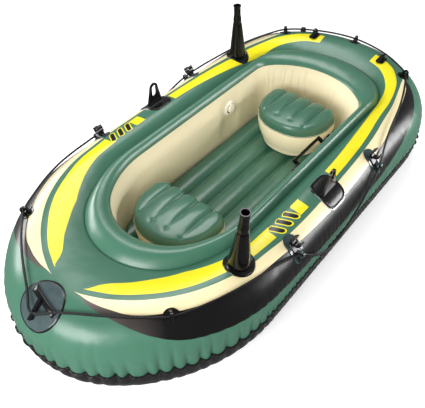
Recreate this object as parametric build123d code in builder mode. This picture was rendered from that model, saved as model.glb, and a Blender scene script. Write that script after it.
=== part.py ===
"""Inflatable rowing dinghy: welded air chambers, loose seats, deck fittings and a grab rope.

Millimetres. +X is the bow, +Y is port and +Z is up. The origin is on the ground under the middle.
"""

import math
import os
from dataclasses import dataclass

from build123d import *

os.makedirs("parts", exist_ok=True)

# ---------------------------------------------------------------- driving dimensions

HULL_LENGTH = 2500.0
HULL_WIDTH = 1200.0
HULL_HEIGHT = 410.0
# Radii of an outline's bow side, bow tip, stern side and stern tip arcs, as shares of its half width.
HULL_ARCS = (776 / 600, 470 / 600, 570 / 600, 1200 / 600)
COCKPIT_ARCS = (472 / 307, 281 / 307, 133 / 307, 383 / 307)
GROOVE_ARCS = (600 / 368, 330 / 368, 260 / 368, 480 / 368)
SHOULDER_RADIUS = 159.0
BILGE_RADIUS = 140.0
SEAM_HEIGHT = BILGE_RADIUS + 33.0
SEAM_FLANGE = 6.0
SEAM_THICKNESS = 3.0

BOW_DECK = 530.0
STERN_DECK = 465.0
SIDE_DECK = 293.0
COCKPIT_BOW = HULL_LENGTH / 2 - BOW_DECK
COCKPIT_STERN = STERN_DECK - HULL_LENGTH / 2
COCKPIT_HALF_WIDTH = HULL_WIDTH / 2 - SIDE_DECK
COAMING_SIDE = 61.0
COAMING_BOW = 135.0
COAMING_STERN = 180.0
COAMING_DROP = 12.0
COAMING_ROUND = 28.0
COAMING_WALL_DROP = 44.0
GROOVE_ROUND = 12.0

OUTER_WALL = 4.0
SHEET = 2.0
SKIN_GAP = 0.3
FLOOR_HEIGHT = 70.0
FLOOR_TUBES = 5
FLOOR_CROWN = 32.0

SEAT_LENGTH = 300.0
SEAT_WIDTH = 410.0
SEAT_HEIGHT = 232.0
SEAT_FRONT_ROUND = 146.0
SEAT_BACK_ROUND = 60.0
SEAT_EDGE_ROUND = 40.0
FRONT_SEAT_X = COCKPIT_BOW - 245.0
REAR_SEAT_X = COCKPIT_STERN + 290.0

PATCH_THICKNESS = 3.0
PATCH_DEPTH = 70.0
LUG_SUNK = 14.0
LUG_FOOT = 2.0
PLAY = 0.3

ROD_HOLDER_X = 0.236 * HULL_LENGTH
ROD_HOLDER_Y = COCKPIT_HALF_WIDTH + COAMING_SIDE + 77.0
ROD_HOLDER_LEAN = 3.0
ROD_PATCH_RADIUS = 62.0
ROD_SOCKET_BASE_RADIUS = 45.0
ROD_TUBE_RADIUS = 18.0
ROD_SOCKET_TOP_RADIUS = ROD_TUBE_RADIUS + 6.0
ROD_SOCKET_HEIGHT = 180.0
ROD_SOCKET_RIM = 4.0
ROD_SOCKET_SUNK = 20.0
ROD_TUBE_WALL = 2.5
ROD_TUBE_SUNK = 60.0
ROD_TUBE_RISE = 102.0
ROD_COLLAR_RADIUS = ROD_TUBE_RADIUS + 3.5
ROD_COLLAR_HEIGHT = 26.0
ROD_LIP = 2.5
ROD_LIP_HEIGHT = 6.0
ROD_LIP_TAPER = 4.0

ROWLOCK_X = 0.012 * HULL_LENGTH
ROWLOCK_TILT = 66.0
ROWLOCK_PATCH_LENGTH = 150.0
ROWLOCK_PATCH_WIDTH = 150.0
ROWLOCK_PATCH_ROUND = 45.0
ROWLOCK_LUG_BASE = 96.0
ROWLOCK_LUG_RISE = 118.0
ROWLOCK_LUG_TOP_RADIUS = 26.0
ROWLOCK_LUG_THICKNESS = 9.0
ROWLOCK_EYE_WIDTH = 30.0
ROWLOCK_EYE_HEIGHT = 62.0
ROWLOCK_SUNK = 30.0
ROWLOCK_FOOT = 6.0

CLIP_X = (0.146 * HULL_LENGTH, -0.12 * HULL_LENGTH)
CLIP_TILT = 53.0
CLIP_PATCH_TILT = 44.0
CLIP_PATCH_LENGTH = 70.0
CLIP_PATCH_WIDTH = 130.0
CLIP_PATCH_ROUND = 34.0
CLIP_EYE_TILT = 34.0
CLIP_EYE_BASE = 40.0
CLIP_EYE_WALL = 5.0
CLIP_BORE_RADIUS = 17.0
CLIP_WALL = 6.0
CLIP_LENGTH = 26.0
CLIP_STEM = 12.0
CLIP_STEM_WIDTH = 18.0
CLIP_STEM_SUNK = 9.0
CLIP_HORN_RADIUS = 4.5
CLIP_HORN_OUT = 2.0
CLIP_MOUTH = 100.0

ROPE_RADIUS = 5.0
EYE_TAB_THICKNESS = 10.0
EYE_HOLE_RADIUS = 9.0
EYE_STANDOFF = 20.0
EYE_WALL = 9.0
EYE_BASE = 52.0
EYE_PATCH_RADIUS = 33.0
BOW_EYE_TURN = 56.0
BOW_EYE_TILT = 62.0
STERN_EYE_TURN = 49.3
STERN_EYE_TILT = 73.0

TOW_PATCH_TILT = 60.0
TOW_PATCH_RADIUS = 92.0
TOW_LUG_TILT = 50.0
TOW_LUG_THICKNESS = 12.0
TOW_LUG_STANDOFF = 25.0
TOW_LUG_FORWARD = 32.2
TOW_LUG_BACK = 59.8
TOW_LUG_SUNK = 20.0
TOW_LUG_SHOULDERS = ((20.0, 31.0), (-12.0, 33.0))
TOW_LUG_HOLE = 11.0

MOTOR_LUG_X = 210.0 - HULL_LENGTH / 2
MOTOR_LUG_Y = 215.0
MOTOR_LUG_BASE = 62.0
MOTOR_LUG_STANDOFF = 28.0
MOTOR_LUG_THICKNESS = 12.0
MOTOR_LUG_HOLE = 9.0
MOTOR_PATCH_LENGTH = 76.0
MOTOR_PATCH_WIDTH = 46.0
MOTOR_PATCH_ROUND = 18.0

HANDLE_FROM_X = -50.0
HANDLE_TO_X = -330.0
HANDLE_Z = HULL_HEIGHT - 70.0
HANDLE_BASE_LENGTH = 54.0
HANDLE_BASE_HEIGHT = 40.0
HANDLE_BASE_DEPTH = 16.0
HANDLE_BASE_ROUND = 12.0
HANDLE_PIVOT_DEPTH = 16.0
HANDLE_PIN_RADIUS = 4.0
HANDLE_REACH = 28.0
HANDLE_LIFT = 30.0
HANDLE_BAR_RADIUS = 8.0
HANDLE_PIN_LENGTH = 14.0
HANDLE_ARM = 12.0

VALVE_FLANGE_RADIUS = 36.0
VALVE_STEM_RADIUS = 22.0
VALVE_STEM_HEIGHT = 14.0
VALVE_BORE_RADIUS = 15.0
VALVE_CAP_THICKNESS = 5.0
VALVE_HINGE_SHARE = 0.6
SMALL_VALVE = 0.55
OUTER_VALVE_X = -420.0
OUTER_VALVE_Z = SEAM_HEIGHT + 45.0
COAMING_VALVE_X = -336.0
COAMING_VALVE_Z = HULL_HEIGHT - 160.0
FLOOR_VALVE_X = COCKPIT_BOW - 58.0

KNOT_RADIUS = 13.0
KNOT_LENGTH = 34.0

# ---------------------------------------------------------------- shared geometry


@dataclass(frozen=True)
class Outline:
    """A plan outline: straight sides, and at each end a side arc that runs on into a tip arc."""

    bow: float
    stern: float
    half_width: float
    bow_side: float
    bow_tip: float
    stern_side: float
    stern_tip: float

    def grown(self, by):
        """The outline set out all round by a distance."""
        return Outline(self.bow + by, self.stern - by, self.half_width + by, self.bow_side + by,
                       self.bow_tip + by, self.stern_side + by, self.stern_tip + by)

    def end(self, way):
        """Centres of one end's tip and side arcs, the side arc's turn, and both radii."""
        side, tip = (self.bow_side, self.bow_tip) if way > 0 else (self.stern_side, self.stern_tip)
        turn = math.acos((side - self.half_width) / (side - tip))
        tip_centre = Vector((self.bow if way > 0 else self.stern) - way * tip, 0)
        side_centre = tip_centre + Vector(-way * (side - tip) * math.sin(turn), self.half_width - side)
        return tip_centre, side_centre, turn, side, tip

    def quarter(self, way):
        """Draws one end's port half, from the straight side to the centre line."""
        tip_centre, side_centre, turn, side, tip = self.end(way)

        def on_arc(centre, radius, angle):
            return centre + Vector(way * math.sin(angle), math.cos(angle)) * radius

        ThreePointArc(on_arc(side_centre, side, 0), on_arc(side_centre, side, turn / 2),
                      on_arc(side_centre, side, turn))
        ThreePointArc(on_arc(tip_centre, tip, turn), on_arc(tip_centre, tip, (turn + math.pi / 2) / 2),
                      on_arc(tip_centre, tip, math.pi / 2))
        return on_arc(side_centre, side, 0)

    def face(self):
        """The whole outline as a face on the ground."""
        with BuildSketch() as sketch:
            with BuildLine():
                fore = self.quarter(1)
                aft = self.quarter(-1)
                Line(fore, aft)
                mirror(about=Plane.XZ)
            make_face()
        return sketch.sketch


def outline(bow, stern, half_width, arcs):
    """An outline between two ends, its arcs' radii given as shares of its half width."""
    return Outline(bow, stern, half_width, *(half_width * share for share in arcs))


HULL = outline(HULL_LENGTH / 2, -HULL_LENGTH / 2, HULL_WIDTH / 2, HULL_ARCS)
COCKPIT = outline(COCKPIT_BOW, COCKPIT_STERN, COCKPIT_HALF_WIDTH, COCKPIT_ARCS)
GROOVE = outline(COCKPIT_BOW + COAMING_BOW, COCKPIT_STERN - COAMING_STERN,
                 COCKPIT_HALF_WIDTH + COAMING_SIDE, GROOVE_ARCS)


def prism(plan, low, high):
    """A plan outline stood up between two heights."""
    with BuildPart() as body:
        with BuildSketch(Plane.XY.offset(low)):
            add(plan.face())
        extrude(amount=high - low)
    return body.part


def hull_block(grow=0.0):
    """The hull's outer shape, with its shoulder and bilge rounded, set out by a distance."""
    with BuildPart() as block:
        add(prism(HULL.grown(grow), -grow, HULL_HEIGHT + grow))
        fillet(block.edges().group_by(Axis.Z)[-1], SHOULDER_RADIUS + grow)
        fillet(block.edges().group_by(Axis.Z)[0], BILGE_RADIUS + grow)
    return block.part


HULL_SOLID = hull_block()
PATCHED_SOLID = hull_block(PATCH_THICKNESS)


def save(piece, name):
    """Labels a finished piece and writes it under its name."""
    piece.part.label = name
    export_step(piece.part, f"parts/{name}.step")


def end_foot(way, side, turn):
    """Point of the hull's outline on an end's side arc, and the outline's normal there."""
    _, centre, _, radius, _ = HULL.end(way)
    angle = math.radians(turn)
    outward = Vector(way * math.cos(angle), side * math.sin(angle))
    return Vector(centre.X, side * centre.Y) + outward * radius, outward


def shoulder_plane(foot, outward, tilt, standoff=0.0):
    """Plane on the shoulder over a point of the outline, its Z out of the skin and its X along the hull.

    The tilt is the height angle of the skin's normal: 0 is sideways and 90 is straight up.
    """
    angle = math.radians(tilt)
    normal = outward * math.cos(angle) + Vector(0, 0, math.sin(angle))
    centre = foot - outward * SHOULDER_RADIUS + Vector(0, 0, HULL_HEIGHT - SHOULDER_RADIUS)
    return Plane(origin=centre + normal * (SHOULDER_RADIUS + standoff),
                 x_dir=Vector(0, 0, 1).cross(outward), z_dir=normal)


def side_plane(x, side, tilt, standoff=0.0):
    """Shoulder plane on the straight side."""
    return shoulder_plane(Vector(x, side * HULL_WIDTH / 2), Vector(0, side), tilt, standoff)


def end_plane(way, side, turn, tilt, standoff=0.0):
    """Shoulder plane on an end's side arc."""
    foot, outward = end_foot(way, side, turn)
    return shoulder_plane(foot, outward, tilt, standoff)


def tip_plane(way, tilt, standoff=0.0):
    """Shoulder plane on the centre line, at the bow or the stern."""
    return shoulder_plane(Vector(way * HULL_LENGTH / 2, 0), Vector(way, 0), tilt, standoff)


def patch(plane, outline_face):
    """A welded patch of even thickness that follows the hull's skin."""
    with BuildPart() as piece:
        with BuildSketch(plane.offset(-PATCH_DEPTH)):
            add(outline_face)
        extrude(amount=2 * PATCH_DEPTH)
        add(PATCHED_SOLID, mode=Mode.INTERSECT)
        add(HULL_SOLID, mode=Mode.SUBTRACT)
    return piece


def disc(radius):
    """A round face."""
    with BuildSketch() as sketch:
        Circle(radius)
    return sketch.sketch


def rounded(length, width, radius):
    """A rectangular face with round corners."""
    with BuildSketch() as sketch:
        RectangleRounded(length, width, radius)
    return sketch.sketch


def upright(plane, outline_face, thickness):
    """A flat lug that stands on a plane, drawn across (X) and up (Y), and seated on the patched skin."""
    standing = Plane(origin=plane.origin, x_dir=plane.y_dir, z_dir=plane.x_dir)
    with BuildPart() as piece:
        with BuildSketch(standing):
            add(outline_face)
        extrude(amount=thickness / 2, both=True)
        add(PATCHED_SOLID, mode=Mode.SUBTRACT)
    return piece


def eye_face(base, standoff, hole, wall):
    """A tapered tab with a round eye."""
    foot = PATCH_THICKNESS + LUG_FOOT
    with BuildSketch() as sketch:
        with BuildLine():
            Polyline((-base / 2, -LUG_SUNK), (base / 2, -LUG_SUNK), (base / 2, foot),
                     (hole + wall, standoff), (-hole - wall, standoff), (-base / 2, foot), close=True)
        make_face()
        with Locations((0, standoff)):
            Circle(hole + wall)
            Circle(hole, mode=Mode.SUBTRACT)
    return sketch.sketch


# ---------------------------------------------------------------- hull


def make_hull():
    """The outer chamber's two halves, its seam, the inner chamber, the bottom and the floor."""
    with BuildPart() as tube:
        add(HULL_SOLID)
        add(prism(GROOVE, -1, HULL_HEIGHT + 1), mode=Mode.SUBTRACT)
        inner_edges = tube.edges().group_by(Axis.Z)[-1].filter_by(
            lambda edge: abs(edge.center().Y) < GROOVE.half_width + 1
            and GROOVE.stern - 1 < edge.center().X < GROOVE.bow + 1)
        fillet(inner_edges, GROOVE_ROUND)
        with BuildPart(mode=Mode.PRIVATE) as air:
            add(hull_block(-OUTER_WALL))
            add(prism(GROOVE.grown(OUTER_WALL), -1, HULL_HEIGHT + 1), mode=Mode.SUBTRACT)
        add(air.part, mode=Mode.SUBTRACT)
    for name, keep in (("outer_chamber_upper", Keep.TOP), ("outer_chamber_lower", Keep.BOTTOM)):
        with BuildPart() as half:
            add(tube.part)
            split(bisect_by=Plane.XY.offset(SEAM_HEIGHT), keep=keep)
        save(half, name)

    half_seam = SEAM_THICKNESS / 2
    with BuildPart() as seam:
        add(prism(HULL.grown(SEAM_FLANGE), SEAM_HEIGHT - half_seam, SEAM_HEIGHT + half_seam))
        add(prism(HULL, 0, HULL_HEIGHT), mode=Mode.SUBTRACT)
    save(seam, "hull_seam")

    with BuildPart() as coaming:
        add(prism(GROOVE.grown(-SKIN_GAP), SHEET, HULL_HEIGHT - COAMING_DROP))
        add(prism(COCKPIT, 0, HULL_HEIGHT), mode=Mode.SUBTRACT)
        fillet(coaming.edges().group_by(Axis.Z)[-1], COAMING_ROUND)
    rim = HULL_HEIGHT - COAMING_WALL_DROP
    for name, keep in (("coaming_top", Keep.TOP), ("coaming_wall", Keep.BOTTOM)):
        with BuildPart() as half:
            add(coaming.part)
            split(bisect_by=Plane.XY.offset(rim), keep=keep)
        save(half, name)

    with BuildPart() as bottom:
        add(prism(GROOVE.grown(-SKIN_GAP), 0, SHEET))
    save(bottom, "bottom_sheet")

    with BuildPart() as floor:
        add(prism(COCKPIT.grown(-SKIN_GAP), SHEET, FLOOR_HEIGHT))
        add(floor_tubes(), mode=Mode.INTERSECT)
    save(floor, "floor_chamber")


def floor_tubes():
    """The floor's cross-section, a row of crowned tubes, run past both ends of the cockpit."""
    width = 2 * COCKPIT_HALF_WIDTH / FLOOR_TUBES
    valley = FLOOR_HEIGHT - FLOOR_CROWN
    with BuildPart() as tubes:
        with BuildSketch(Plane.YZ.offset(COCKPIT_STERN - 10)):
            with BuildLine():
                for index in range(FLOOR_TUBES):
                    start = -COCKPIT_HALF_WIDTH + index * width
                    crest = (start + width / 2, FLOOR_HEIGHT)
                    ThreePointArc((start, valley), crest, (start + width, valley))
                Polyline((COCKPIT_HALF_WIDTH, valley), (COCKPIT_HALF_WIDTH, 0), (-COCKPIT_HALF_WIDTH, 0),
                         (-COCKPIT_HALF_WIDTH, valley))
            make_face()
        extrude(amount=COCKPIT_BOW - COCKPIT_STERN + 20)
    return tubes.part


# ---------------------------------------------------------------- valves


def valve(name, plane, scale=1.0, flange=True, seat=None):
    """A valve: a welded flange, an open stem with a hinge lug, and a cap that lies on the stem.

    A stem with no flange stands on the face itself, or on a seat that it is cut to fit.
    """
    stem_radius = VALVE_STEM_RADIUS * scale
    height = VALVE_STEM_HEIGHT * scale
    cap = VALVE_CAP_THICKNESS * scale
    foot = SHEET if flange else 0.0
    if flange:
        with BuildPart() as ring:
            with BuildSketch(plane):
                Circle(VALVE_FLANGE_RADIUS * scale)
            extrude(amount=SHEET)
        save(ring, f"{name}_flange")
    sunk = cap if seat else 0.0
    with BuildPart() as stem:
        with BuildSketch(plane.offset(foot - sunk)):
            Circle(stem_radius)
            with Locations((0, stem_radius)):
                Rectangle(stem_radius * VALVE_HINGE_SHARE, cap * 2)
        extrude(amount=height + sunk)
        if seat:
            add(seat, mode=Mode.SUBTRACT)
        with BuildSketch(plane.offset(foot + cap)):
            Circle(VALVE_BORE_RADIUS * scale)
        extrude(amount=height, mode=Mode.SUBTRACT)
    save(stem, f"{name}_stem")
    with BuildPart() as lid:
        with BuildSketch(plane.offset(foot + height + SKIN_GAP)):
            Circle(stem_radius)
            with Locations((0, stem_radius)):
                Rectangle(stem_radius * VALVE_HINGE_SHARE, cap * 2)
        extrude(amount=cap)
    save(lid, f"{name}_cap")


def make_valves():
    """One valve for each air chamber."""
    sideways = Plane(origin=(OUTER_VALVE_X, -HULL_WIDTH / 2, OUTER_VALVE_Z), x_dir=(1, 0, 0),
                     z_dir=(0, -1, 0))
    valve("outer_valve", sideways)
    inward = Plane(origin=(COAMING_VALVE_X, -COCKPIT_HALF_WIDTH, COAMING_VALVE_Z),
                   x_dir=(-1, 0, 0), z_dir=(0, 1, 0))
    valve("coaming_valve", inward)
    crest = Plane(origin=(FLOOR_VALVE_X, 0, FLOOR_HEIGHT))
    valve("floor_valve", crest, SMALL_VALVE, flange=False, seat=floor_tubes())
    for name, x in (("front_seat", FRONT_SEAT_X), ("rear_seat", REAR_SEAT_X)):
        aft = Plane(origin=(x - SEAT_LENGTH / 2, 0, FLOOR_HEIGHT + SEAT_HEIGHT / 2),
                    x_dir=(0, -1, 0), z_dir=(-1, 0, 0))
        valve(f"{name}_valve", aft, SMALL_VALVE, flange=False)


# ---------------------------------------------------------------- seats


def make_seats():
    """Two loose cushions, round to the bow and straight to the stern."""
    for name, x in (("front_seat", FRONT_SEAT_X), ("rear_seat", REAR_SEAT_X)):
        with BuildPart() as seat:
            with BuildSketch(Plane.XY.offset(FLOOR_HEIGHT + SKIN_GAP)) as plan:
                with Locations((x, 0)):
                    Rectangle(SEAT_LENGTH, SEAT_WIDTH)
                fillet(plan.vertices().group_by(Axis.X)[-1], SEAT_FRONT_ROUND)
                fillet(plan.vertices().group_by(Axis.X)[0], SEAT_BACK_ROUND)
            extrude(amount=SEAT_HEIGHT)
            fillet(seat.edges().group_by(Axis.Z)[-1], SEAT_EDGE_ROUND)
            fillet(seat.edges().group_by(Axis.Z)[0], SEAT_EDGE_ROUND)
        save(seat, name)


# ---------------------------------------------------------------- deck fittings


def make_rod_holders():
    """Two rod holders, port forward and starboard aft: a patch, a socket and a tube that turns in it."""
    for name, way in (("port", 1), ("starboard", -1)):
        x, y = way * ROD_HOLDER_X, way * ROD_HOLDER_Y
        deck = Plane(origin=(x, y, HULL_HEIGHT))
        save(patch(deck, disc(ROD_PATCH_RADIUS)), f"rod_holder_patch_{name}")

        lean = math.radians(ROD_HOLDER_LEAN)
        axis = Vector(0, way * math.sin(lean), math.cos(lean))
        stand = Plane(origin=(x, y, HULL_HEIGHT + PATCH_THICKNESS), x_dir=(1, 0, 0), z_dir=axis)
        profile = Plane(origin=stand.origin, x_dir=stand.x_dir, z_dir=-stand.y_dir)
        with BuildPart() as socket:
            with BuildSketch(profile):
                with BuildLine():
                    Polyline((0, -ROD_SOCKET_SUNK), (ROD_SOCKET_BASE_RADIUS, -ROD_SOCKET_SUNK),
                             (ROD_SOCKET_BASE_RADIUS, ROD_SOCKET_RIM),
                             (ROD_SOCKET_TOP_RADIUS, ROD_SOCKET_HEIGHT), (0, ROD_SOCKET_HEIGHT), close=True)
                make_face()
            revolve(axis=Axis(stand.origin, axis))
            with BuildSketch(stand.offset(ROD_SOCKET_HEIGHT - ROD_TUBE_SUNK)):
                Circle(ROD_TUBE_RADIUS + PLAY)
            extrude(amount=ROD_TUBE_SUNK + 1, mode=Mode.SUBTRACT)
            add(PATCHED_SOLID, mode=Mode.SUBTRACT)
        save(socket, f"rod_holder_socket_{name}")

        low = ROD_SOCKET_HEIGHT - ROD_TUBE_SUNK + PLAY
        collar = ROD_SOCKET_HEIGHT + PLAY
        top = ROD_SOCKET_HEIGHT + ROD_TUBE_RISE
        inner = ROD_TUBE_RADIUS - ROD_TUBE_WALL
        lip = ROD_TUBE_RADIUS + ROD_LIP
        with BuildPart() as tube:
            with BuildSketch(profile):
                with BuildLine():
                    Polyline((inner, low), (ROD_TUBE_RADIUS, low), (ROD_TUBE_RADIUS, collar),
                             (ROD_COLLAR_RADIUS, collar), (ROD_COLLAR_RADIUS, collar + ROD_COLLAR_HEIGHT),
                             (ROD_TUBE_RADIUS, collar + 2 * ROD_COLLAR_HEIGHT),
                             (ROD_TUBE_RADIUS, top - ROD_LIP_HEIGHT - ROD_LIP_TAPER),
                             (lip, top - ROD_LIP_HEIGHT), (lip, top), (inner, top), close=True)
                make_face()
            revolve(axis=Axis(stand.origin, axis))
        save(tube, f"rod_holder_tube_{name}")


def make_rowlocks():
    """A rowlock on each side: a welded patch and an upright lug with a tall eye for the oar."""
    crown = ROWLOCK_LUG_RISE - ROWLOCK_LUG_TOP_RADIUS
    half = ROWLOCK_LUG_BASE / 2
    for name, side in (("port", 1), ("starboard", -1)):
        seat = side_plane(ROWLOCK_X, side, ROWLOCK_TILT)
        cut = rounded(ROWLOCK_PATCH_LENGTH, ROWLOCK_PATCH_WIDTH, ROWLOCK_PATCH_ROUND)
        save(patch(seat, cut), f"rowlock_patch_{name}")
        foot = Plane(origin=seat.origin, x_dir=(1, 0, 0), z_dir=(0, -1, 0))
        with BuildPart() as lug:
            with BuildSketch(foot):
                with BuildLine():
                    Polyline((-half, -ROWLOCK_SUNK), (half, -ROWLOCK_SUNK), (half, ROWLOCK_FOOT),
                             (ROWLOCK_LUG_TOP_RADIUS, crown), (-ROWLOCK_LUG_TOP_RADIUS, crown),
                             (-half, ROWLOCK_FOOT), close=True)
                make_face()
                with Locations((0, crown)):
                    Circle(ROWLOCK_LUG_TOP_RADIUS)
                with Locations((0, crown - ROWLOCK_EYE_HEIGHT / 2 + ROWLOCK_EYE_WIDTH / 2)):
                    SlotOverall(ROWLOCK_EYE_HEIGHT, ROWLOCK_EYE_WIDTH, rotation=90, mode=Mode.SUBTRACT)
            extrude(amount=ROWLOCK_LUG_THICKNESS / 2, both=True)
            add(PATCHED_SOLID, mode=Mode.SUBTRACT)
        save(lug, f"rowlock_lug_{name}")


def clip_face():
    """An oar clip's spring ring on its stem, open at the top between two round horns."""
    bore = CLIP_BORE_RADIUS
    centre = PATCH_THICKNESS + CLIP_STEM + CLIP_WALL + bore
    half = math.radians(CLIP_MOUTH / 2)
    reach = (bore + CLIP_WALL) * 2
    mouth_x = reach * math.sin(half)
    mouth_y = centre + reach * math.cos(half)
    horn = bore + CLIP_WALL / 2
    stem = CLIP_STEM + PATCH_THICKNESS + 1
    with BuildSketch() as shape:
        with Locations((0, centre)):
            Circle(bore + CLIP_WALL)
            Circle(bore, mode=Mode.SUBTRACT)
        with BuildLine():
            Polyline((0, centre), (mouth_x, mouth_y), (-mouth_x, mouth_y), close=True)
        make_face(mode=Mode.SUBTRACT)
        with Locations((0, (stem - CLIP_STEM_SUNK) / 2)):
            Rectangle(CLIP_STEM_WIDTH, stem + CLIP_STEM_SUNK)
        for way in (1, -1):
            with Locations((way * (horn * math.sin(half) + CLIP_HORN_OUT), centre + horn * math.cos(half))):
                Circle(CLIP_HORN_RADIUS)
    return shape.sketch


def make_oar_clips():
    """Four oar clips: a welded patch with a rope eye, and a spring clip that opens away from the hull."""
    cut = rounded(CLIP_PATCH_LENGTH, CLIP_PATCH_WIDTH, CLIP_PATCH_ROUND)
    tab = eye_face(CLIP_EYE_BASE, EYE_STANDOFF, EYE_HOLE_RADIUS, CLIP_EYE_WALL)
    for side_name, side in (("port", 1), ("starboard", -1)):
        for end_name, x in zip(("forward", "aft"), CLIP_X):
            with BuildPart() as base:
                add(patch(side_plane(x, side, CLIP_PATCH_TILT), cut).part)
                add(upright(side_plane(x, side, CLIP_EYE_TILT), tab, EYE_TAB_THICKNESS).part)
            save(base, f"oar_clip_patch_{side_name}_{end_name}")
            clip = upright(side_plane(x, side, CLIP_TILT), clip_face(), CLIP_LENGTH)
            save(clip, f"oar_clip_{side_name}_{end_name}")


def make_rope_eyes():
    """The moulded eyes that the grab rope runs through, at the four quarters and the stern."""
    seats = {"stern_centre": tip_plane(-1, STERN_EYE_TILT)}
    for side_name, side in (("port", 1), ("starboard", -1)):
        seats[f"bow_{side_name}"] = end_plane(1, side, BOW_EYE_TURN, BOW_EYE_TILT)
        seats[f"stern_{side_name}"] = end_plane(-1, side, STERN_EYE_TURN, STERN_EYE_TILT)
    tab = eye_face(EYE_BASE, EYE_STANDOFF, EYE_HOLE_RADIUS, EYE_WALL)
    for name, seat in seats.items():
        with BuildPart() as eye:
            add(patch(seat, disc(EYE_PATCH_RADIUS)).part)
            add(upright(seat, tab, EYE_TAB_THICKNESS).part)
        save(eye, f"rope_eye_{name}")


def make_tow_fitting():
    """The tow patch and its lug at the bow."""
    save(patch(tip_plane(1, TOW_PATCH_TILT), disc(TOW_PATCH_RADIUS)), "tow_patch")
    seat = tip_plane(1, TOW_LUG_TILT)
    standing = Plane(origin=seat.origin, x_dir=-seat.y_dir, z_dir=seat.x_dir)
    with BuildPart() as lug:
        with BuildSketch(standing):
            with BuildLine():
                Polyline((-TOW_LUG_BACK, -TOW_LUG_SUNK), (TOW_LUG_FORWARD, -TOW_LUG_SUNK),
                         *TOW_LUG_SHOULDERS, close=True)
            make_face()
            with Locations((0, TOW_LUG_STANDOFF)):
                Circle(TOW_LUG_HOLE + EYE_WALL)
                Circle(TOW_LUG_HOLE, mode=Mode.SUBTRACT)
        extrude(amount=TOW_LUG_THICKNESS / 2, both=True)
        add(PATCHED_SOLID, mode=Mode.SUBTRACT)
    save(lug, "tow_lug")


def make_motor_lugs():
    """Two lugs on the stern deck that a motor bracket is tied to."""
    cut = rounded(MOTOR_PATCH_WIDTH, MOTOR_PATCH_LENGTH, MOTOR_PATCH_ROUND)
    tab = eye_face(MOTOR_LUG_BASE, MOTOR_LUG_STANDOFF, MOTOR_LUG_HOLE, EYE_WALL)
    for name, side in (("port", 1), ("starboard", -1)):
        deck = Plane(origin=(MOTOR_LUG_X, side * MOTOR_LUG_Y, HULL_HEIGHT), x_dir=(0, 1, 0))
        with BuildPart() as lug:
            add(patch(deck, cut).part)
            add(upright(deck, tab, MOTOR_LUG_THICKNESS).part)
        save(lug, f"motor_lug_{name}")


def make_carry_handle():
    """A swinging carry handle on the port inner wall, between two welded bases."""
    wall = COCKPIT_HALF_WIDTH
    pivot_y = wall - HANDLE_PIVOT_DEPTH
    half = HANDLE_BASE_LENGTH / 2
    with BuildPart() as bases:
        for x, way in ((HANDLE_FROM_X, -1), (HANDLE_TO_X, 1)):
            with BuildSketch(Plane(origin=(x, wall, HANDLE_Z), x_dir=(1, 0, 0), z_dir=(0, -1, 0))):
                RectangleRounded(HANDLE_BASE_LENGTH, HANDLE_BASE_HEIGHT, HANDLE_BASE_ROUND)
            extrude(amount=HANDLE_BASE_DEPTH)
            with BuildSketch(Plane(origin=(x + way * half, pivot_y, HANDLE_Z), z_dir=(way, 0, 0))):
                Circle(HANDLE_PIN_RADIUS)
            extrude(amount=HANDLE_PIN_LENGTH)
    save(bases, "carry_handle_bases")

    lift = math.radians(HANDLE_LIFT)
    reach = Vector(0, -math.cos(lift), math.sin(lift)) * HANDLE_REACH
    near = HANDLE_FROM_X - half - PLAY - HANDLE_ARM / 2
    far = HANDLE_TO_X + half + PLAY + HANDLE_ARM / 2
    with BuildPart() as grip:
        for x in (near, far):
            middle = Vector(x, pivot_y, HANDLE_Z) + reach / 2
            with BuildSketch(Plane(origin=middle, x_dir=reach.normalized(), z_dir=(1, 0, 0))):
                SlotCenterToCenter(HANDLE_REACH, HANDLE_BAR_RADIUS * 2)
            extrude(amount=HANDLE_ARM / 2, both=True)
        with BuildSketch(Plane(origin=Vector(near, pivot_y, HANDLE_Z) + reach, z_dir=(-1, 0, 0))):
            Circle(HANDLE_BAR_RADIUS)
        extrude(amount=near - far)
        with BuildSketch(Plane(origin=(near + HANDLE_ARM, pivot_y, HANDLE_Z), z_dir=(-1, 0, 0))):
            Circle(HANDLE_PIN_RADIUS + PLAY / 3)
        extrude(amount=near - far + 2 * HANDLE_ARM, mode=Mode.SUBTRACT)
    save(grip, "carry_handle_grip")


# ---------------------------------------------------------------- grab rope

ROPE_PORT = (
    (1223, 0, 388),
    (1167, 68, 405),
    (1124, 139, 415),
    (1083, 204, 417),
    (1033, 277, 415),
    (980, 343, 412),
    (925, 408, 409),
    (836, 452, 405),
    (735, 495, 404),
    (629, 527, 399),
    (530, 546, 391),
    (445, 565, 375),
    (364, 590, 355),
    (290, 614, 287),
    (200, 617, 228),
    (110, 618, 205),
    (20, 617, 225),
    (-70, 616, 262),
    (-155, 610, 297),
    (-230, 603, 326),
    (-300, 590, 352),
    (-390, 560, 382),
    (-490, 531, 401),
    (-590, 510, 411),
    (-685, 490, 417),
    (-780, 462, 422),
    (-885, 425, 423),
    (-985, 385, 422),
    (-1052, 300, 418),
    (-1107, 205, 417),
    (-1135, 100, 419),
)
ROPE_STERN = (-1143, 0, 422)
KNOT_PLACE = 28


def rope_route():
    """The rope's whole route, from the knot on the starboard quarter round by the bow to the knot again."""
    port = [Vector(*point) for point in ROPE_PORT]
    starboard = [Vector(point.X, -point.Y, point.Z) for point in port[1:]]
    return starboard[KNOT_PLACE - 1::-1] + port + [Vector(*ROPE_STERN)] + starboard[:KNOT_PLACE - 1:-1]


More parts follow.
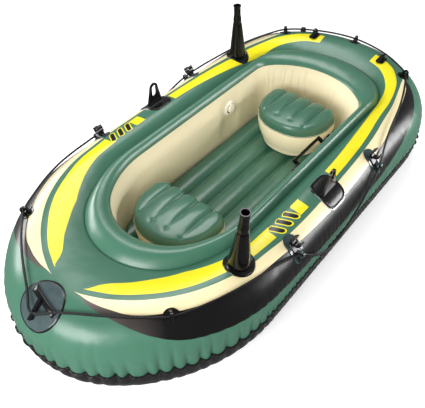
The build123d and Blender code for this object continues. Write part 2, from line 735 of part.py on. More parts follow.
def make_rope():
    """The grab rope, tied in one knot, as straight runs joined by tangent arcs."""
    route = rope_route()
    knot = route[0]
    along = (route[1] - route[-1]).normalized()
    route = [knot + along * KNOT_LENGTH / 2] + route[1:] + [knot - along * KNOT_LENGTH / 2]
    radii = []
    for before, here, after in zip(route, route[1:], route[2:]):
        turn = math.radians((here - before).get_angle(after - here))
        shorter = min((here - before).length, (after - here).length)
        radii.append(0.45 * shorter / math.tan(turn / 2))
    print("rope radii", [round(radius) for radius in radii])
    with BuildPart() as rope:
        with BuildLine() as path:
            FilletPolyline(*route, radius=radii)
        with BuildSketch(Plane(origin=route[0], z_dir=route[1] - route[0])):
            Circle(ROPE_RADIUS)
        sweep(path=path.wires()[0])
    length = path.wires()[0].length
    print("rope length", round(length), "volume share",
          round(rope.part.volume / (math.pi * ROPE_RADIUS ** 2 * length), 4))
    save(rope, "grab_rope")
    with BuildPart() as tie:
        with BuildSketch(Plane(origin=knot - along * KNOT_LENGTH / 2, z_dir=along)):
            Circle(KNOT_RADIUS)
        extrude(amount=KNOT_LENGTH)
        fillet(tie.edges().filter_by(GeomType.CIRCLE), KNOT_RADIUS / 2)
    save(tie, "grab_rope_knot")


make_hull()
make_valves()
make_seats()
make_rod_holders()
make_rowlocks()
make_oar_clips()
make_rope_eyes()
make_tow_fitting()
make_motor_lugs()
make_carry_handle()
make_rope()
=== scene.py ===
"""Inflatable rowing dinghy: welded air chambers, two loose seats, moulded deck fittings and a grab rope.

Metres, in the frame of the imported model: +X is the bow, +Y is port and +Z is up.
"""

from __future__ import annotations

import logging
import math
from dataclasses import dataclass, field
from enum import Enum
from typing import Callable, Sequence

import bpy
import numpy as np
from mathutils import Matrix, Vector
from mathutils.bvhtree import BVHTree

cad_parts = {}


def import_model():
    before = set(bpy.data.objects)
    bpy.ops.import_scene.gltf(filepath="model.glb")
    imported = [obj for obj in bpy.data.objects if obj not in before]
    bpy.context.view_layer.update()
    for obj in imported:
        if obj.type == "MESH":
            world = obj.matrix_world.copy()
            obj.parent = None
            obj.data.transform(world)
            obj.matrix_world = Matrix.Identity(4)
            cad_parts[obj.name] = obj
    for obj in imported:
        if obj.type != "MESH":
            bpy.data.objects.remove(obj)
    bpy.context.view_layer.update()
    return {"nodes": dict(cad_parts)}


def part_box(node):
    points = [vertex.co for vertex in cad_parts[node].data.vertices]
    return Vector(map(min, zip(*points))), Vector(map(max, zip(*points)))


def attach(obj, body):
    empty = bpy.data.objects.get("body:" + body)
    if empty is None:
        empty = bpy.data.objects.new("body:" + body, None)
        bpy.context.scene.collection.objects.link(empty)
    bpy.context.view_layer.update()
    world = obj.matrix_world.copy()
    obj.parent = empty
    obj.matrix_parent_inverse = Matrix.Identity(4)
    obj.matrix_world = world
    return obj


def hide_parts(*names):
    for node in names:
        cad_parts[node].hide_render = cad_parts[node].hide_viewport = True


LOG = logging.getLogger("dinghy")
Array = np.ndarray
Point = tuple[float, float, float]


class Way(Enum):
    """The two ends of the hull, as the sign of X."""

    BOW = 1
    STERN = -1


class Side(Enum):
    """The two sides of the hull, as the sign of Y."""

    PORT = 1
    STARBOARD = -1


# ---------------------------------------------------------------- shader helpers


def srgb(code: str) -> tuple[float, float, float, float]:
    """Turns an sRGB hex colour to linear.

    Args:
        code: Six hex digits after a hash.

    Returns:
        Linear red, green and blue, and an alpha of 1.
    """
    values = [int(code[i : i + 2], 16) / 255 for i in (1, 3, 5)]
    linear = [v / 12.92 if v <= 0.04045 else ((v + 0.055) / 1.055) ** 2.4 for v in values]
    return (linear[0], linear[1], linear[2], 1.0)


def add_node(tree: bpy.types.NodeTree, kind: str, links: dict | None = None,
             **settings: object) -> bpy.types.Node:
    """Adds a shader node with its settings and links.

    Args:
        tree: The material's node tree.
        kind: The node's type name, without its ShaderNode prefix.
        links: Input name or number to a value, or to the socket that feeds it.
        settings: Properties of the node itself.

    Returns:
        The new node.
    """
    node = tree.nodes.new("ShaderNode" + kind)
    for name, value in settings.items():
        setattr(node, name, value)
    for key, value in (links or {}).items():
        if isinstance(value, bpy.types.NodeSocket):
            tree.links.new(value, node.inputs[key])
        else:
            node.inputs[key].default_value = value
    return node


class Shader:
    """A material under construction: its tree, and short forms of the maths that its masks use."""

    def __init__(self, name: str) -> None:
        """Starts an empty material with an output.

        Args:
            name: The material's name.
        """
        self.material = bpy.data.materials.new(name)
        self.material.use_nodes = True
        self.tree = self.material.node_tree
        self.tree.nodes.clear()
        self.output = add_node(self.tree, "OutputMaterial")

    def add(self, kind: str, links: dict | None = None, **settings: object) -> bpy.types.Node:
        """Adds a node to this material."""
        return add_node(self.tree, kind, links, **settings)

    def sum(self, operation: str, *values: object, clamp: bool = False) -> bpy.types.NodeSocket:
        """Adds a Math node and gives its result."""
        links = dict(enumerate(values))
        return self.add("Math", links, operation=operation, use_clamp=clamp).outputs[0]

    def value(self, name: str) -> bpy.types.NodeSocket:
        """The value that a mesh holds at each point under a name."""
        return self.add("Attribute", attribute_name=name).outputs["Fac"]

    def place(self) -> bpy.types.NodeSocket:
        """The object's own coordinates, in metres."""
        return self.add("TexCoord").outputs["Object"]

    def noise(self, size: float, detail: float = 2.0, where: object = None) -> bpy.types.NodeSocket:
        """Noise whose lumps are about that size, in metres."""
        links = {"Vector": where or self.place(), "Scale": 1 / size, "Detail": detail}
        return self.add("TexNoise", links).outputs["Fac"]

    def mix(self, share: object, low: object, high: object) -> bpy.types.NodeSocket:
        """Mixes two colours."""
        return self.add("Mix", {0: share, 6: low, 7: high}, data_type="RGBA").outputs[2]

    def band(self, value: object, low: object, high: object) -> bpy.types.NodeSocket:
        """1 where a value lies between two others, and 0 elsewhere."""
        above = self.sum("GREATER_THAN", value, low)
        return self.sum("MULTIPLY", above, self.sum("LESS_THAN", value, high))

    def bump(self, height: object, strength: float, depth: float,
             under: object = None) -> bpy.types.NodeSocket:
        """Adds a bump.

        Args:
            height: Its height, from 0 to 1.
            strength: How much of it shows, from 0 to 1.
            depth: What a height of 1 stands for, in metres.
            under: The normal that it adds to.

        Returns:
            The bumped normal.
        """
        links = {"Height": height, "Strength": strength, "Distance": depth}
        if under is not None:
            links["Normal"] = under
        return self.add("Bump", links).outputs["Normal"]

    def finish(self, **links: object) -> bpy.types.Material:
        """Adds the surface shader, with the given inputs, and gives the material.

        Args:
            links: Values and sockets by the shader's input names, with _ for a space.

        Returns:
            The finished material.
        """
        named = {key.replace("_", " "): value for key, value in links.items()}
        surface = self.add("BsdfPrincipled", named)
        self.tree.links.new(surface.outputs[0], self.output.inputs["Surface"])
        return self.material


# ---------------------------------------------------------------- finishes

PVC_IOR = 1.53


@dataclass(frozen=True)
class CalenderedVinyl:
    """Soft PVC film, calendered between polished rolls: one even colour under a wet-looking gloss."""

    name: str
    colour: str
    worn: str
    roughness: float = 0.31
    wrinkle: float = 0.0016
    shine: float = 0.5

    # PVC reads as IOR 1.53. The film's own grain is under 1 mm, so it is drawn at 4 mm to show.
    def normal(self, shader: Shader) -> bpy.types.NodeSocket:
        """The film's grain over its slow sags between welds."""
        sag = shader.bump(shader.noise(0.085, 1.5), 0.5, self.wrinkle * 3)
        return shader.bump(shader.noise(0.004, 1.0), 0.12, 0.0004, sag)

    def tint(self, shader: Shader, base: object) -> bpy.types.NodeSocket:
        """Lets the base colour drift a little with the film's thickness and handling marks."""
        drift = shader.sum("MULTIPLY", shader.noise(0.16, 3.0), 0.22)
        return shader.mix(drift, base, srgb(self.worn))

    def gloss(self, shader: Shader) -> bpy.types.NodeSocket:
        """Roughness, with faint smears where the film has been handled."""
        smear = shader.sum("MULTIPLY", shader.noise(0.045, 4.0), 0.12)
        return shader.sum("ADD", smear, self.roughness - 0.06)

    def make(self) -> bpy.types.Material:
        """Builds the material.

        Returns:
            The material.
        """
        shader = Shader(self.name)
        base, rough = self.tint(shader, srgb(self.colour)), self.gloss(shader)
        return shader.finish(Base_Color=base, Roughness=rough, IOR=PVC_IOR,
                             Specular_IOR_Level=self.shine, Normal=self.normal(shader))


@dataclass(frozen=True)
class PrintedVinyl(CalenderedVinyl):
    """The deck film, screen printed with sporty bands: yellow over cream over a black crescent."""

    shine: float = 0.42
    yellow: str = "#dccf16"
    cream: str = "#dccfa4"
    black: str = "#060506"
    # Painted reflection: towards the bow the black print is mixed into this grey-brown, standing for the
    # sheen that the gloss picks up there.
    smoke: str = "#5a524e"
    bow_sheen_fade: tuple[float, float] = (1.02, 1.40)
    yellow_runs: Sequence[tuple[float, float]] = ((-1.385, -0.05), (0.172, 0.232), (0.395, 1.56))
    # Each edge is a run of (station along the hull, distance outboard of the deck's crest), in metres.
    yellow_in: Sequence[tuple[float, float]] = (
        (-1.56, -0.060), (-1.36, -0.060), (-1.05, -0.067), (-0.77, -0.072), (-0.40, -0.036), (-0.05, -0.006),
        (0.23, -0.011), (0.46, -0.033), (0.67, -0.074), (0.87, -0.111), (1.04, -0.133), (1.20, -0.141),
        (1.34, -0.118), (1.40, -0.088), (1.445, -0.048), (1.56, -0.048))
    yellow_out: Sequence[tuple[float, float]] = (
        (-1.56, 0.006), (-1.38, 0.008), (-1.20, 0.012), (-1.03, -0.002), (-0.82, -0.016), (-0.59, 0.000),
        (-0.33, 0.034), (-0.05, 0.049), (0.24, 0.052), (0.50, 0.032), (0.72, 0.002), (0.95, -0.021),
        (1.18, -0.046), (1.35, -0.054), (1.445, -0.048), (1.56, -0.048))
    cream_in: Sequence[tuple[float, float]] = (
        (-1.56, 0.040), (-1.08, 0.040), (-0.96, 0.014), (-0.82, 0.002), (-0.60, 0.024), (-0.375, 0.054),
        (-0.05, 0.071), (0.32, 0.072), (0.50, 0.052), (0.74, 0.025), (0.93, 0.008), (1.10, -0.008),
        (1.33, -0.026), (1.46, -0.022), (1.56, -0.020))
    cream_out: Sequence[tuple[float, float]] = (
        (-1.56, 0.040), (-1.08, 0.040), (-0.96, 0.044), (-0.82, 0.040), (-0.61, 0.062), (-0.42, 0.104),
        (-0.05, 0.135), (0.25, 0.128), (0.50, 0.100), (0.75, 0.080), (0.98, 0.062), (1.15, 0.046),
        (1.24, 0.023), (1.36, -0.004), (1.46, -0.021), (1.56, -0.020))
    black_out: Sequence[tuple[float, float]] = (
        (-1.56, 0.040), (-1.10, 0.040), (-0.98, 0.070), (-0.85, 0.100), (-0.69, 0.140), (-0.50, 0.200),
        (-0.20, 0.246), (0.30, 0.250), (0.60, 0.218), (0.83, 0.191), (0.95, 0.172), (1.07, 0.131),
        (1.16, 0.090), (1.24, 0.054), (1.36, 0.010), (1.44, -0.018), (1.56, -0.020))

    def edge(self, shader: Shader, along: bpy.types.NodeSocket,
             run: Sequence[tuple[float, float]]) -> bpy.types.NodeSocket:
        """Draws one print edge as a smooth curve along the hull.

        Args:
            shader: The material under construction.
            along: The station along the hull.
            run: The edge's points.

        Returns:
            The edge's distance outboard of the crest, in metres.
        """
        reach, span = 1.6, 0.3
        place = shader.sum("MULTIPLY_ADD", along, 0.5 / reach, 0.5)
        curve = shader.add("FloatCurve", {"Value": place})
        points = curve.mapping.curves[0].points
        wanted = [(0.5 + x / reach / 2, 0.5 + y / span / 2) for x, y in run]
        while len(points) < len(wanted):
            points.new(0.5, 0.5)
        for point, (x, y) in zip(points, wanted):
            point.location = (x, y)
        curve.mapping.update()
        return shader.sum("MULTIPLY_ADD", curve.outputs[0], span * 2, -span)

    def emblem(self, shader: Shader, along: object, across: object) -> tuple[object, object]:
        """Three slanted bars that stand where a maker would print a name.

        Args:
            shader: The material under construction.
            along: The station along the hull.
            across: The distance outboard of the crest.

        Returns:
            The masks of the bars' black hearts and of their yellow surrounds.
        """
        start, pitch, bars, slant, middle, half_length = 0.240, 0.050, 3.0, 0.55, 0.020, 0.019
        heart_radius, surround_radius = 0.0120, 0.0180
        leaned = shader.sum("MULTIPLY_ADD", across, slant, along)
        cell = shader.sum("DIVIDE", shader.sum("SUBTRACT", leaned, start + middle * slant), pitch)
        off = shader.sum("MULTIPLY", shader.sum("SUBTRACT", shader.sum("FRACT", cell), 0.5), pitch)
        from_middle = shader.sum("ABSOLUTE", shader.sum("SUBTRACT", across, middle))
        past = shader.sum("MAXIMUM", shader.sum("SUBTRACT", from_middle, half_length), 0.0)
        squares = [shader.sum("MULTIPLY", way, way) for way in (off, past)]
        far = shader.sum("SQRT", shader.sum("ADD", *squares))
        here = shader.band(cell, 0.0, bars)
        heart = shader.sum("MULTIPLY", here, shader.sum("LESS_THAN", far, heart_radius))
        surround = shader.sum("MULTIPLY", here, shader.sum("LESS_THAN", far, surround_radius))
        return heart, surround

    def make(self) -> bpy.types.Material:
        """Builds the material: film, then print, then gloss over both.

        Returns:
            The material.
        """
        shader = Shader(self.name)
        along, across = shader.value("along"), shader.value("across")
        edges = {
            name: self.edge(shader, along, getattr(self, name))
            for name in ("yellow_in", "yellow_out", "cream_in", "cream_out", "black_out")
        }
        film = self.tint(shader, srgb(self.colour))
        # Painted reflection: the black print turns grey-brown as it nears the bow, in place of a real sheen.
        start, end = self.bow_sheen_fade
        smoky = shader.add("MapRange", {"Value": along, "From Min": start, "From Max": end}).outputs[0]
        black = shader.mix(smoky, srgb(self.black), srgb(self.smoke))
        printed = shader.mix(shader.band(across, edges["cream_out"], edges["black_out"]), film, black)
        inside = shader.band(across, edges["cream_in"], edges["cream_out"])
        printed = shader.mix(inside, printed, srgb(self.cream))
        runs = [shader.band(along, *ends) for ends in self.yellow_runs]
        allowed = shader.sum("ADD", shader.sum("ADD", runs[0], runs[1]), runs[2])
        inside = shader.band(across, edges["yellow_in"], edges["yellow_out"])
        printed = shader.mix(shader.sum("MULTIPLY", allowed, inside), printed, srgb(self.yellow))
        heart, surround = self.emblem(shader, along, across)
        printed = shader.mix(surround, printed, srgb(self.yellow))
        printed = shader.mix(heart, printed, srgb(self.black))
        return shader.finish(Base_Color=printed, Roughness=self.gloss(shader), IOR=PVC_IOR,
                             Specular_IOR_Level=self.shine, Normal=self.normal(shader))


@dataclass(frozen=True)
class MouldedVinyl:
    """Injection moulded plastic, out of a polished tool: thick and glossy, with a slight flow swirl."""

    name: str
    colour: str = "#0c0c0d"
    scuff: str = "#2a2a2b"
    roughness: float = 0.18
    shine: float = 0.42

    def make(self) -> bpy.types.Material:
        """Builds the material: a glossy body, rubbed paler in small patches.

        Returns:
            The material.
        """
        shader = Shader(self.name)
        patchy = shader.noise(0.012, 5.0)
        rubbed = shader.add("MapRange", {"Value": patchy, "From Min": 0.55, "From Max": 0.8})
        share = shader.sum("MULTIPLY", rubbed.outputs[0], 0.35)
        colour = shader.mix(share, srgb(self.colour), srgb(self.scuff))
        rough = shader.sum("MULTIPLY_ADD", shader.noise(0.02, 3.0), 0.16, self.roughness - 0.06)
        normal = shader.bump(shader.noise(0.03, 2.0), 0.35, 0.0008)
        return shader.finish(Base_Color=colour, Roughness=rough, IOR=1.5,
                             Specular_IOR_Level=self.shine, Normal=normal)


@dataclass(frozen=True)
class ClearVinyl:
    """Unpigmented PVC sheet, die cut: it shows what it lies on through a smoky, shiny skin."""

    name: str
    colour: str
    cloud: str
    transmission: float = 0.75
    roughness: float = 0.12

    def make(self) -> bpy.types.Material:
        """Builds the material: a cloudy, see-through sheet.

        Returns:
            The material.
        """
        shader = Shader(self.name)
        colour = shader.mix(shader.noise(0.03, 2.0), srgb(self.colour), srgb(self.cloud))
        normal = shader.bump(shader.noise(0.018, 2.0), 0.4, 0.0009)
        return shader.finish(Base_Color=colour, Roughness=self.roughness, IOR=PVC_IOR, Normal=normal,
                             Transmission_Weight=self.transmission)


@dataclass(frozen=True)
class LaidRope:
    """Three-strand polypropylene rope, laid hard: fine filaments with a dull sheen."""

    name: str
    colour: str = "#070707"
    sheen: str = "#1c1c1d"
    filament: float = 0.0012

    def make(self) -> bpy.types.Material:
        """Builds the material. Filaments are 0.2 mm in the real rope and are drawn at 1.2 mm to show.

        Returns:
            The material.
        """
        shader = Shader(self.name)
        bands_per_unit = 1 / self.filament / 20
        lay = shader.add("TexWave", {"Vector": shader.place(), "Scale": bands_per_unit, "Distortion": 2.0})
        lines = lay.outputs["Fac"]
        colour = shader.mix(shader.sum("MULTIPLY", lines, 0.3), srgb(self.colour), srgb(self.sheen))
        return shader.finish(Base_Color=colour, Roughness=0.42, IOR=1.49, Specular_IOR_Level=0.3,
                             Normal=shader.bump(lines, 0.4, 0.0004))


# ---------------------------------------------------------------- mesh helpers


def smooth_object(name: str, points: Array, faces: Sequence[Sequence[int]],
                  material: bpy.types.Material) -> bpy.types.Object:
    """Makes a smooth-shaded mesh object.

    Args:
        name: The piece's name.
        points: Vertex positions, one row each.
        faces: Vertex numbers of each face.
        material: Its finish.

    Returns:
        The object, linked to the scene.
    """
    mesh = bpy.data.meshes.new(name)
    mesh.from_pydata([tuple(p) for p in np.asarray(points, float)], [], [tuple(map(int, f)) for f in faces])
    mesh.shade_smooth()
    mesh.materials.append(material)
    mesh.validate()
    piece = bpy.data.objects.new(name, mesh)
    bpy.context.scene.collection.objects.link(piece)
    return piece


def grid_faces(rows: int, columns: int, closed: bool) -> list[tuple[int, int, int, int]]:
    """Faces of a grid of points, row by row.

    Args:
        rows: How many rows of points.
        columns: How many points in a row.
        closed: Whether each row joins up with its own start.

    Returns:
        Four vertex numbers for each face.
    """
    faces = []
    for i in range(rows - 1):
        for j in range(columns if closed else columns - 1):
            k = (j + 1) % columns
            faces.append((i * columns + j, i * columns + k, (i + 1) * columns + k, (i + 1) * columns + j))
    return faces


def capped_faces(rows: int, columns: int) -> list[tuple[int, ...]]:
    """Faces of a grid of closed rows, with one more face over each end.

    Args:
        rows: How many rows of points.
        columns: How many points in a row.

    Returns:
        The vertex numbers of each face, the last two being the ends.
    """
    faces = list(grid_faces(rows, columns, True))
    faces.append(tuple(range(columns))[::-1])
    faces.append(tuple(range((rows - 1) * columns, rows * columns)))
    return faces


def grid_object(name: str, grid: Array, material: bpy.types.Material, closed: bool = True,
                values: dict[str, Array] | None = None, flip: bool = False) -> bpy.types.Object:
    """Makes a piece from a grid of points, with values held at each.

    Args:
        name: The piece's name.
        grid: Rows by columns by three coordinates.
        material: Its finish.
        closed: Whether each row joins up with its own start.
        values: Named values, one for each point of the grid.
        flip: Whether to turn the faces over.

    Returns:
        The piece.
    """
    rows, columns, _ = grid.shape
    faces = grid_faces(rows, columns, closed)
    if flip:
        faces = [face[::-1] for face in faces]
    piece = smooth_object(name, grid.reshape(-1, 3), faces, material)
    for key, value in (values or {}).items():
        held = piece.data.attributes.new(key, "FLOAT", "POINT")
        held.data.foreach_set("value", np.asarray(value, np.float32).ravel())
    return piece


def evenly(line: Array, parts: int) -> Array:
    """Spaces points evenly along a line.

    Args:
        line: The line's own points.
        parts: How many parts to divide it into.

    Returns:
        One point more than there are parts.
    """
    far = np.concatenate([[0], np.cumsum(np.linalg.norm(np.diff(line, axis=0), axis=1))])
    places = np.linspace(0, far[-1], parts + 1)
    return np.stack([np.interp(places, far, line[:, k]) for k in range(line.shape[1])], 1)


def ease(low: float, high: float, value: Array | float) -> Array:
    """A smooth step from 0 at low to 1 at high."""
    t = np.clip((np.asarray(value, float) - low) / (high - low), 0, 1)
    return t * t * (3 - 2 * t)


# ---------------------------------------------------------------- plan outlines and stations


@dataclass(frozen=True)
class Outline:
    """A plan outline: straight sides, and at each end a side arc that runs on into a tip arc."""

    bow: float
    stern: float
    half_width: float
    bow_side: float
    bow_tip: float
    stern_side: float
    stern_tip: float

    def end(self, way: Way) -> tuple[float, float, float, float, float, float]:
        """One end's arcs.

        Args:
            way: Which end.

        Returns:
            The tip arc's centre X, the side arc's centre X and Y, its turn, and both radii.
        """
        side, tip = (self.bow_side, self.bow_tip) if way is Way.BOW else (self.stern_side, self.stern_tip)
        turn = math.acos((side - self.half_width) / (side - tip))
        tip_x = (self.bow if way is Way.BOW else self.stern) - way.value * tip
        side_x = tip_x - way.value * (side - tip) * math.sin(turn)
        return tip_x, side_x, self.half_width - side, turn, side, tip

    def at(self, run: Array, turn: Array) -> Array:
        """Points of the port half.

        Args:
            run: From 0 at the aft end of the straight side to 1 at its fore end.
            turn: The outline's turn in radians, below 0 at the stern and above 0 at the bow.

        Returns:
            X and Y of each point.
        """
        points = np.zeros((len(run), 2))
        aft, fore = self.end(Way.STERN)[1], self.end(Way.BOW)[1]
        points[:, 0] = aft + (fore - aft) * run
        points[:, 1] = self.half_width
        for way in Way:
            tip_x, side_x, side_y, most, side, tip = self.end(way)
            angle = turn * way.value
            here = angle > 1e-9
            on_side = here & (angle <= most)
            on_tip = here & (angle > most)
            points[on_side] = np.stack([side_x + way.value * side * np.sin(angle[on_side]),
                                        side_y + side * np.cos(angle[on_side])], 1)
            points[on_tip] = np.stack([tip_x + way.value * tip * np.sin(angle[on_tip]),
                                       tip * np.cos(angle[on_tip])], 1)
        return points


# Each outline: the bow's and the stern's X, half the width, then the bow's and the stern's arc radii.
HULL = Outline(1.25, -1.25, 0.6, 0.776, 0.470, 0.570, 1.200)
COCKPIT = Outline(0.720, -0.785, 0.307, 0.472, 0.281, 0.133, 0.383)
GROOVE = Outline(0.855, -0.965, 0.368, 0.600, 0.330, 0.260, 0.480)
# Heights of the deck's crest and of the seam, and the radii of the tube over and under it.
DECK = 0.410
SEAM = 0.185
SHOULDER = 0.159
BILGE = 0.140
QUARTER_TURN = math.pi / 2


@dataclass
class Stations:
    """Stations all round the hull that every outline shares, matched by the direction that each faces."""

    step: float = 0.0052
    run: Array = field(init=False)
    turn: Array = field(init=False)
    side: Array = field(init=False)
    along: Array = field(init=False)

    def __post_init__(self) -> None:
        """Spaces the stations evenly on the hull's own outline, from the stern round by port."""
        aft, fore = HULL.end(Way.STERN), HULL.end(Way.BOW)
        runs, turns, alongs = [], [], []
        for way, end in ((Way.STERN, aft), (Way.BOW, fore)):
            _, side_x, _, most, side, tip = end
            whole = side * most + tip * (math.pi / 2 - most)
            count = round(whole / self.step)
            far = np.linspace(0, whole, count + 1)[1:]
            angle = np.where(far <= side * most, far / side, most + (far - side * most) / tip)
            if way is Way.STERN:
                far, angle = far[::-1], angle[::-1]
            runs.append(np.full(len(far), 0.0 if way is Way.STERN else 1.0))
            turns.append(angle * way.value)
            alongs.append(side_x + way.value * far)
        count = round((fore[1] - aft[1]) / self.step)
        straight = np.linspace(0, 1, count + 1)
        run = np.concatenate([runs[0], straight, runs[1]])
        turn = np.concatenate([turns[0], np.zeros(len(straight)), turns[1]])
        along = np.concatenate([alongs[0], aft[1] + (fore[1] - aft[1]) * straight, alongs[1]])
        back = slice(-2, 0, -1)
        self.run = np.concatenate([run, run[back]])
        self.turn = np.concatenate([turn, turn[back]])
        self.along = np.concatenate([along, along[back]])
        self.side = np.concatenate([np.ones(len(run)), -np.ones(len(run) - 2)])

    def outward(self) -> Array:
        """The outward direction in plan at each station."""
        return np.stack([np.sin(self.turn), np.cos(self.turn) * self.side], 1)

    def on(self, outline: Outline, inboard: float = 0.0) -> Array:
        """An outline's point at each station.

        Args:
            outline: The outline.
            inboard: How far to move inboard of it, in metres.

        Returns:
            X and Y of each station's point.
        """
        points = outline.at(self.run, self.turn)
        points[:, 1] *= self.side
        return points - self.outward() * inboard

    def distance(self) -> Array:
        """How far round the hull each station is, in metres."""
        points = self.on(HULL)
        return np.concatenate([[0], np.cumsum(np.linalg.norm(np.diff(points, axis=0), axis=1))])


@dataclass(frozen=True)
class Pleats:
    """Creases that a flat sheet takes where it is welded round a bend: finer along the straight side."""

    seed: int
    bend_pitch: float = 0.056
    side_pitch: float = 0.031
    width: float = 0.0115
    reach: tuple[float, float] = (0.09, 0.20)

    def over(self, stations: Stations, height: Array) -> tuple[Array, Array]:
        """Measures the creases.

        Args:
            stations: The stations round the hull.
            height: Distance of each row from the seam, in metres.

        Returns:
            The crease from 0 to 1 at each row and station, and the swell between creases at each station.
        """
        chance = np.random.default_rng(self.seed)
        far = stations.distance()
        whole = far[-1] + stations.step
        bend = ease(0.0, 0.25, np.abs(stations.turn))
        places = [0.0]
        while True:
            here = float(np.interp(places[-1], far, bend))
            pitch = self.side_pitch + (self.bend_pitch - self.side_pitch) * here
            places.append(places[-1] + pitch * chance.uniform(0.72, 1.3))
            if places[-1] > whole - pitch * 0.6:
                places[-1] = whole
                break
        spots = np.array(places)
        strength = chance.uniform(0.45, 1.0, len(spots))
        reach = chance.uniform(*self.reach, len(spots))
        strength[-1], reach[-1] = strength[0], reach[0]
        left = np.clip(np.searchsorted(spots, far, side="right") - 1, 0, len(spots) - 2)
        share = (far - spots[left]) / (spots[left + 1] - spots[left])
        swell = np.sin(np.pi * share) ** 0.7
        crease = np.zeros((len(height), len(far)))
        for which in (left, left + 1):
            near = np.exp(-(((far - spots[which]) / self.width) ** 2)) * strength[which]
            fade = np.clip(1 - height[:, None] / reach[which][None, :], 0, 1) ** 1.1
            crease = np.maximum(crease, near[None, :] * fade)
        scale = 0.45 + 0.55 * bend
        return crease * scale[None, :], swell * scale


# ---------------------------------------------------------------- the hull


@dataclass
class OuterChamber:
    """The big outer tube: a printed top sheet and a black bottom sheet, welded at a low pleated seam."""

    stations: Stations
    top_finish: bpy.types.Material
    bottom_finish: bpy.types.Material
    valley: float = 0.046
    tuck: float = 0.02
    pleat_depth: float = 0.0105
    pleat_swell: float = 0.0055
    pleat_reach: float = 0.15
    pleat_seed: int = 7
    smooth_top: float = 0.02
    scallop: float = 0.006
    flange: float = 0.0075
    flange_tip: float = 0.0006
    flange_root: float = -0.002
    ripple: float = 0.0012
    ripple_pitch: float = 0.019

    def top_rows(self) -> tuple[Array, Array]:
        """The top sheet's rows, from the valley beside the coaming over the crown to the seam.

        Returns:
            The grid of points, and how far outboard of the crest each is along the sheet.
        """
        stations, outward = self.stations, self.stations.outward()
        edge, crest, hull = stations.on(GROOVE), stations.on(HULL, SHOULDER), stations.on(HULL)
        deck_width = np.linalg.norm(crest - edge, axis=1)
        ones = np.ones(len(edge))
        rows = [np.column_stack([edge, ones * (DECK - self.valley - self.tuck)])]
        across = [-deck_width]
        for share in np.linspace(0, 1, 24)[:-1]:
            high = DECK - self.valley * (1 - share) ** 1.8
            rows.append(np.column_stack([edge + (crest - edge) * share, ones * high]))
            across.append(-deck_width * (1 - share))
        for angle in np.linspace(0, QUARTER_TURN, 22):
            plan = crest + outward * (SHOULDER * math.sin(angle))
            rows.append(np.column_stack([plan, ones * (DECK - SHOULDER * (1 - math.cos(angle)))]))
            across.append(ones * (SHOULDER * angle))
        shoulder_end = DECK - SHOULDER
        for high in np.linspace(shoulder_end, SEAM, 13)[1:]:
            rows.append(np.column_stack([hull, ones * high]))
            across.append(ones * (SHOULDER * QUARTER_TURN + shoulder_end - high))
        return np.array(rows), np.array(across)

    def ruffle(self, grid: Array) -> Array:
        """Presses the pleats into a grid's rows near the seam and hangs its edge in scallops.

        Args:
            grid: The rows of a sheet.

        Returns:
            The changed grid.
        """
        height = np.abs(grid[:, 0, 2] - SEAM)
        crease, swell = Pleats(self.pleat_seed).over(self.stations, height)
        outward = self.stations.outward()
        near = np.clip(1 - height / self.pleat_reach, 0, 1) ** 1.3
        push = -self.pleat_depth * crease + self.pleat_swell * near[:, None] * (swell[None, :] - 0.35)
        below_crest = grid[:, :, 2] < DECK - self.smooth_top
        grid[:, :, :2] += outward[None] * (push * below_crest)[:, :, None]
        grid[:, :, 2] -= (self.scallop * swell)[None, :] * (near ** 2)[:, None]
        return grid

    def bottom_rows(self) -> Array:
        """The bottom sheet's rows, from the seam round the bilge to where the bottom lies flat.

        Returns:
            The grid of points.
        """
        stations, outward = self.stations, self.stations.outward()
        hull, start, edge = stations.on(HULL), stations.on(HULL, BILGE), stations.on(GROOVE)
        ones = np.ones(len(hull))
        rows = [np.column_stack([hull, ones * high]) for high in np.linspace(SEAM, BILGE, 8)[:-1]]
        for angle in np.linspace(0, QUARTER_TURN, 20):
            plan = hull - outward * (BILGE * (1 - math.cos(angle)))
            rows.append(np.column_stack([plan, ones * (BILGE * (1 - math.sin(angle)))]))
        for share in (0.35, 0.7, 1.0):
            rows.append(np.column_stack([start + (edge - start) * share, ones * 0.0]))
        return np.array(rows)

    def build(self) -> list[bpy.types.Object]:
        """Builds both sheets and the weld between them.

        Returns:
            The top sheet, the bottom sheet and the weld.
        """
        top, across = self.top_rows()
        along = np.broadcast_to(self.stations.along, across.shape)
        top, bottom = self.ruffle(top), self.ruffle(self.bottom_rows())
        print_places = {"along": along, "across": across}
        upper = grid_object("outer_chamber_top_sheet", top, self.top_finish, values=print_places)
        lower = grid_object("outer_chamber_bottom_sheet", bottom, self.bottom_finish)
        weld = self.weld(top[-1])
        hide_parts("outer_chamber_upper")
        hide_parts("outer_chamber_lower")
        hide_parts("hull_seam")
        return [upper, lower, weld]

    def weld(self, edge: Array) -> bpy.types.Object:
        """The weld's own thin lip, standing out from the sheets' shared edge and waving with it.

        Args:
            edge: The points of the sheets' shared edge.

        Returns:
            The lip.
        """
        outward = self.stations.outward()
        wave = self.ripple * np.sin(self.stations.distance() * 2 * math.pi / self.ripple_pitch)
        root, tip = self.flange_root, self.flange
        lip = ((root, 0.0014), (tip, 0.0008), (tip + self.flange_tip, 0.0), (tip, -0.0008), (root, -0.0014))
        rows = []
        for out, up in lip:
            row = edge.copy()
            row[:, :2] += outward * out
            row[:, 2] += up + wave * (out > 0)
            rows.append(row)
        return grid_object("hull_weld_lip", np.array(rows), self.bottom_finish)


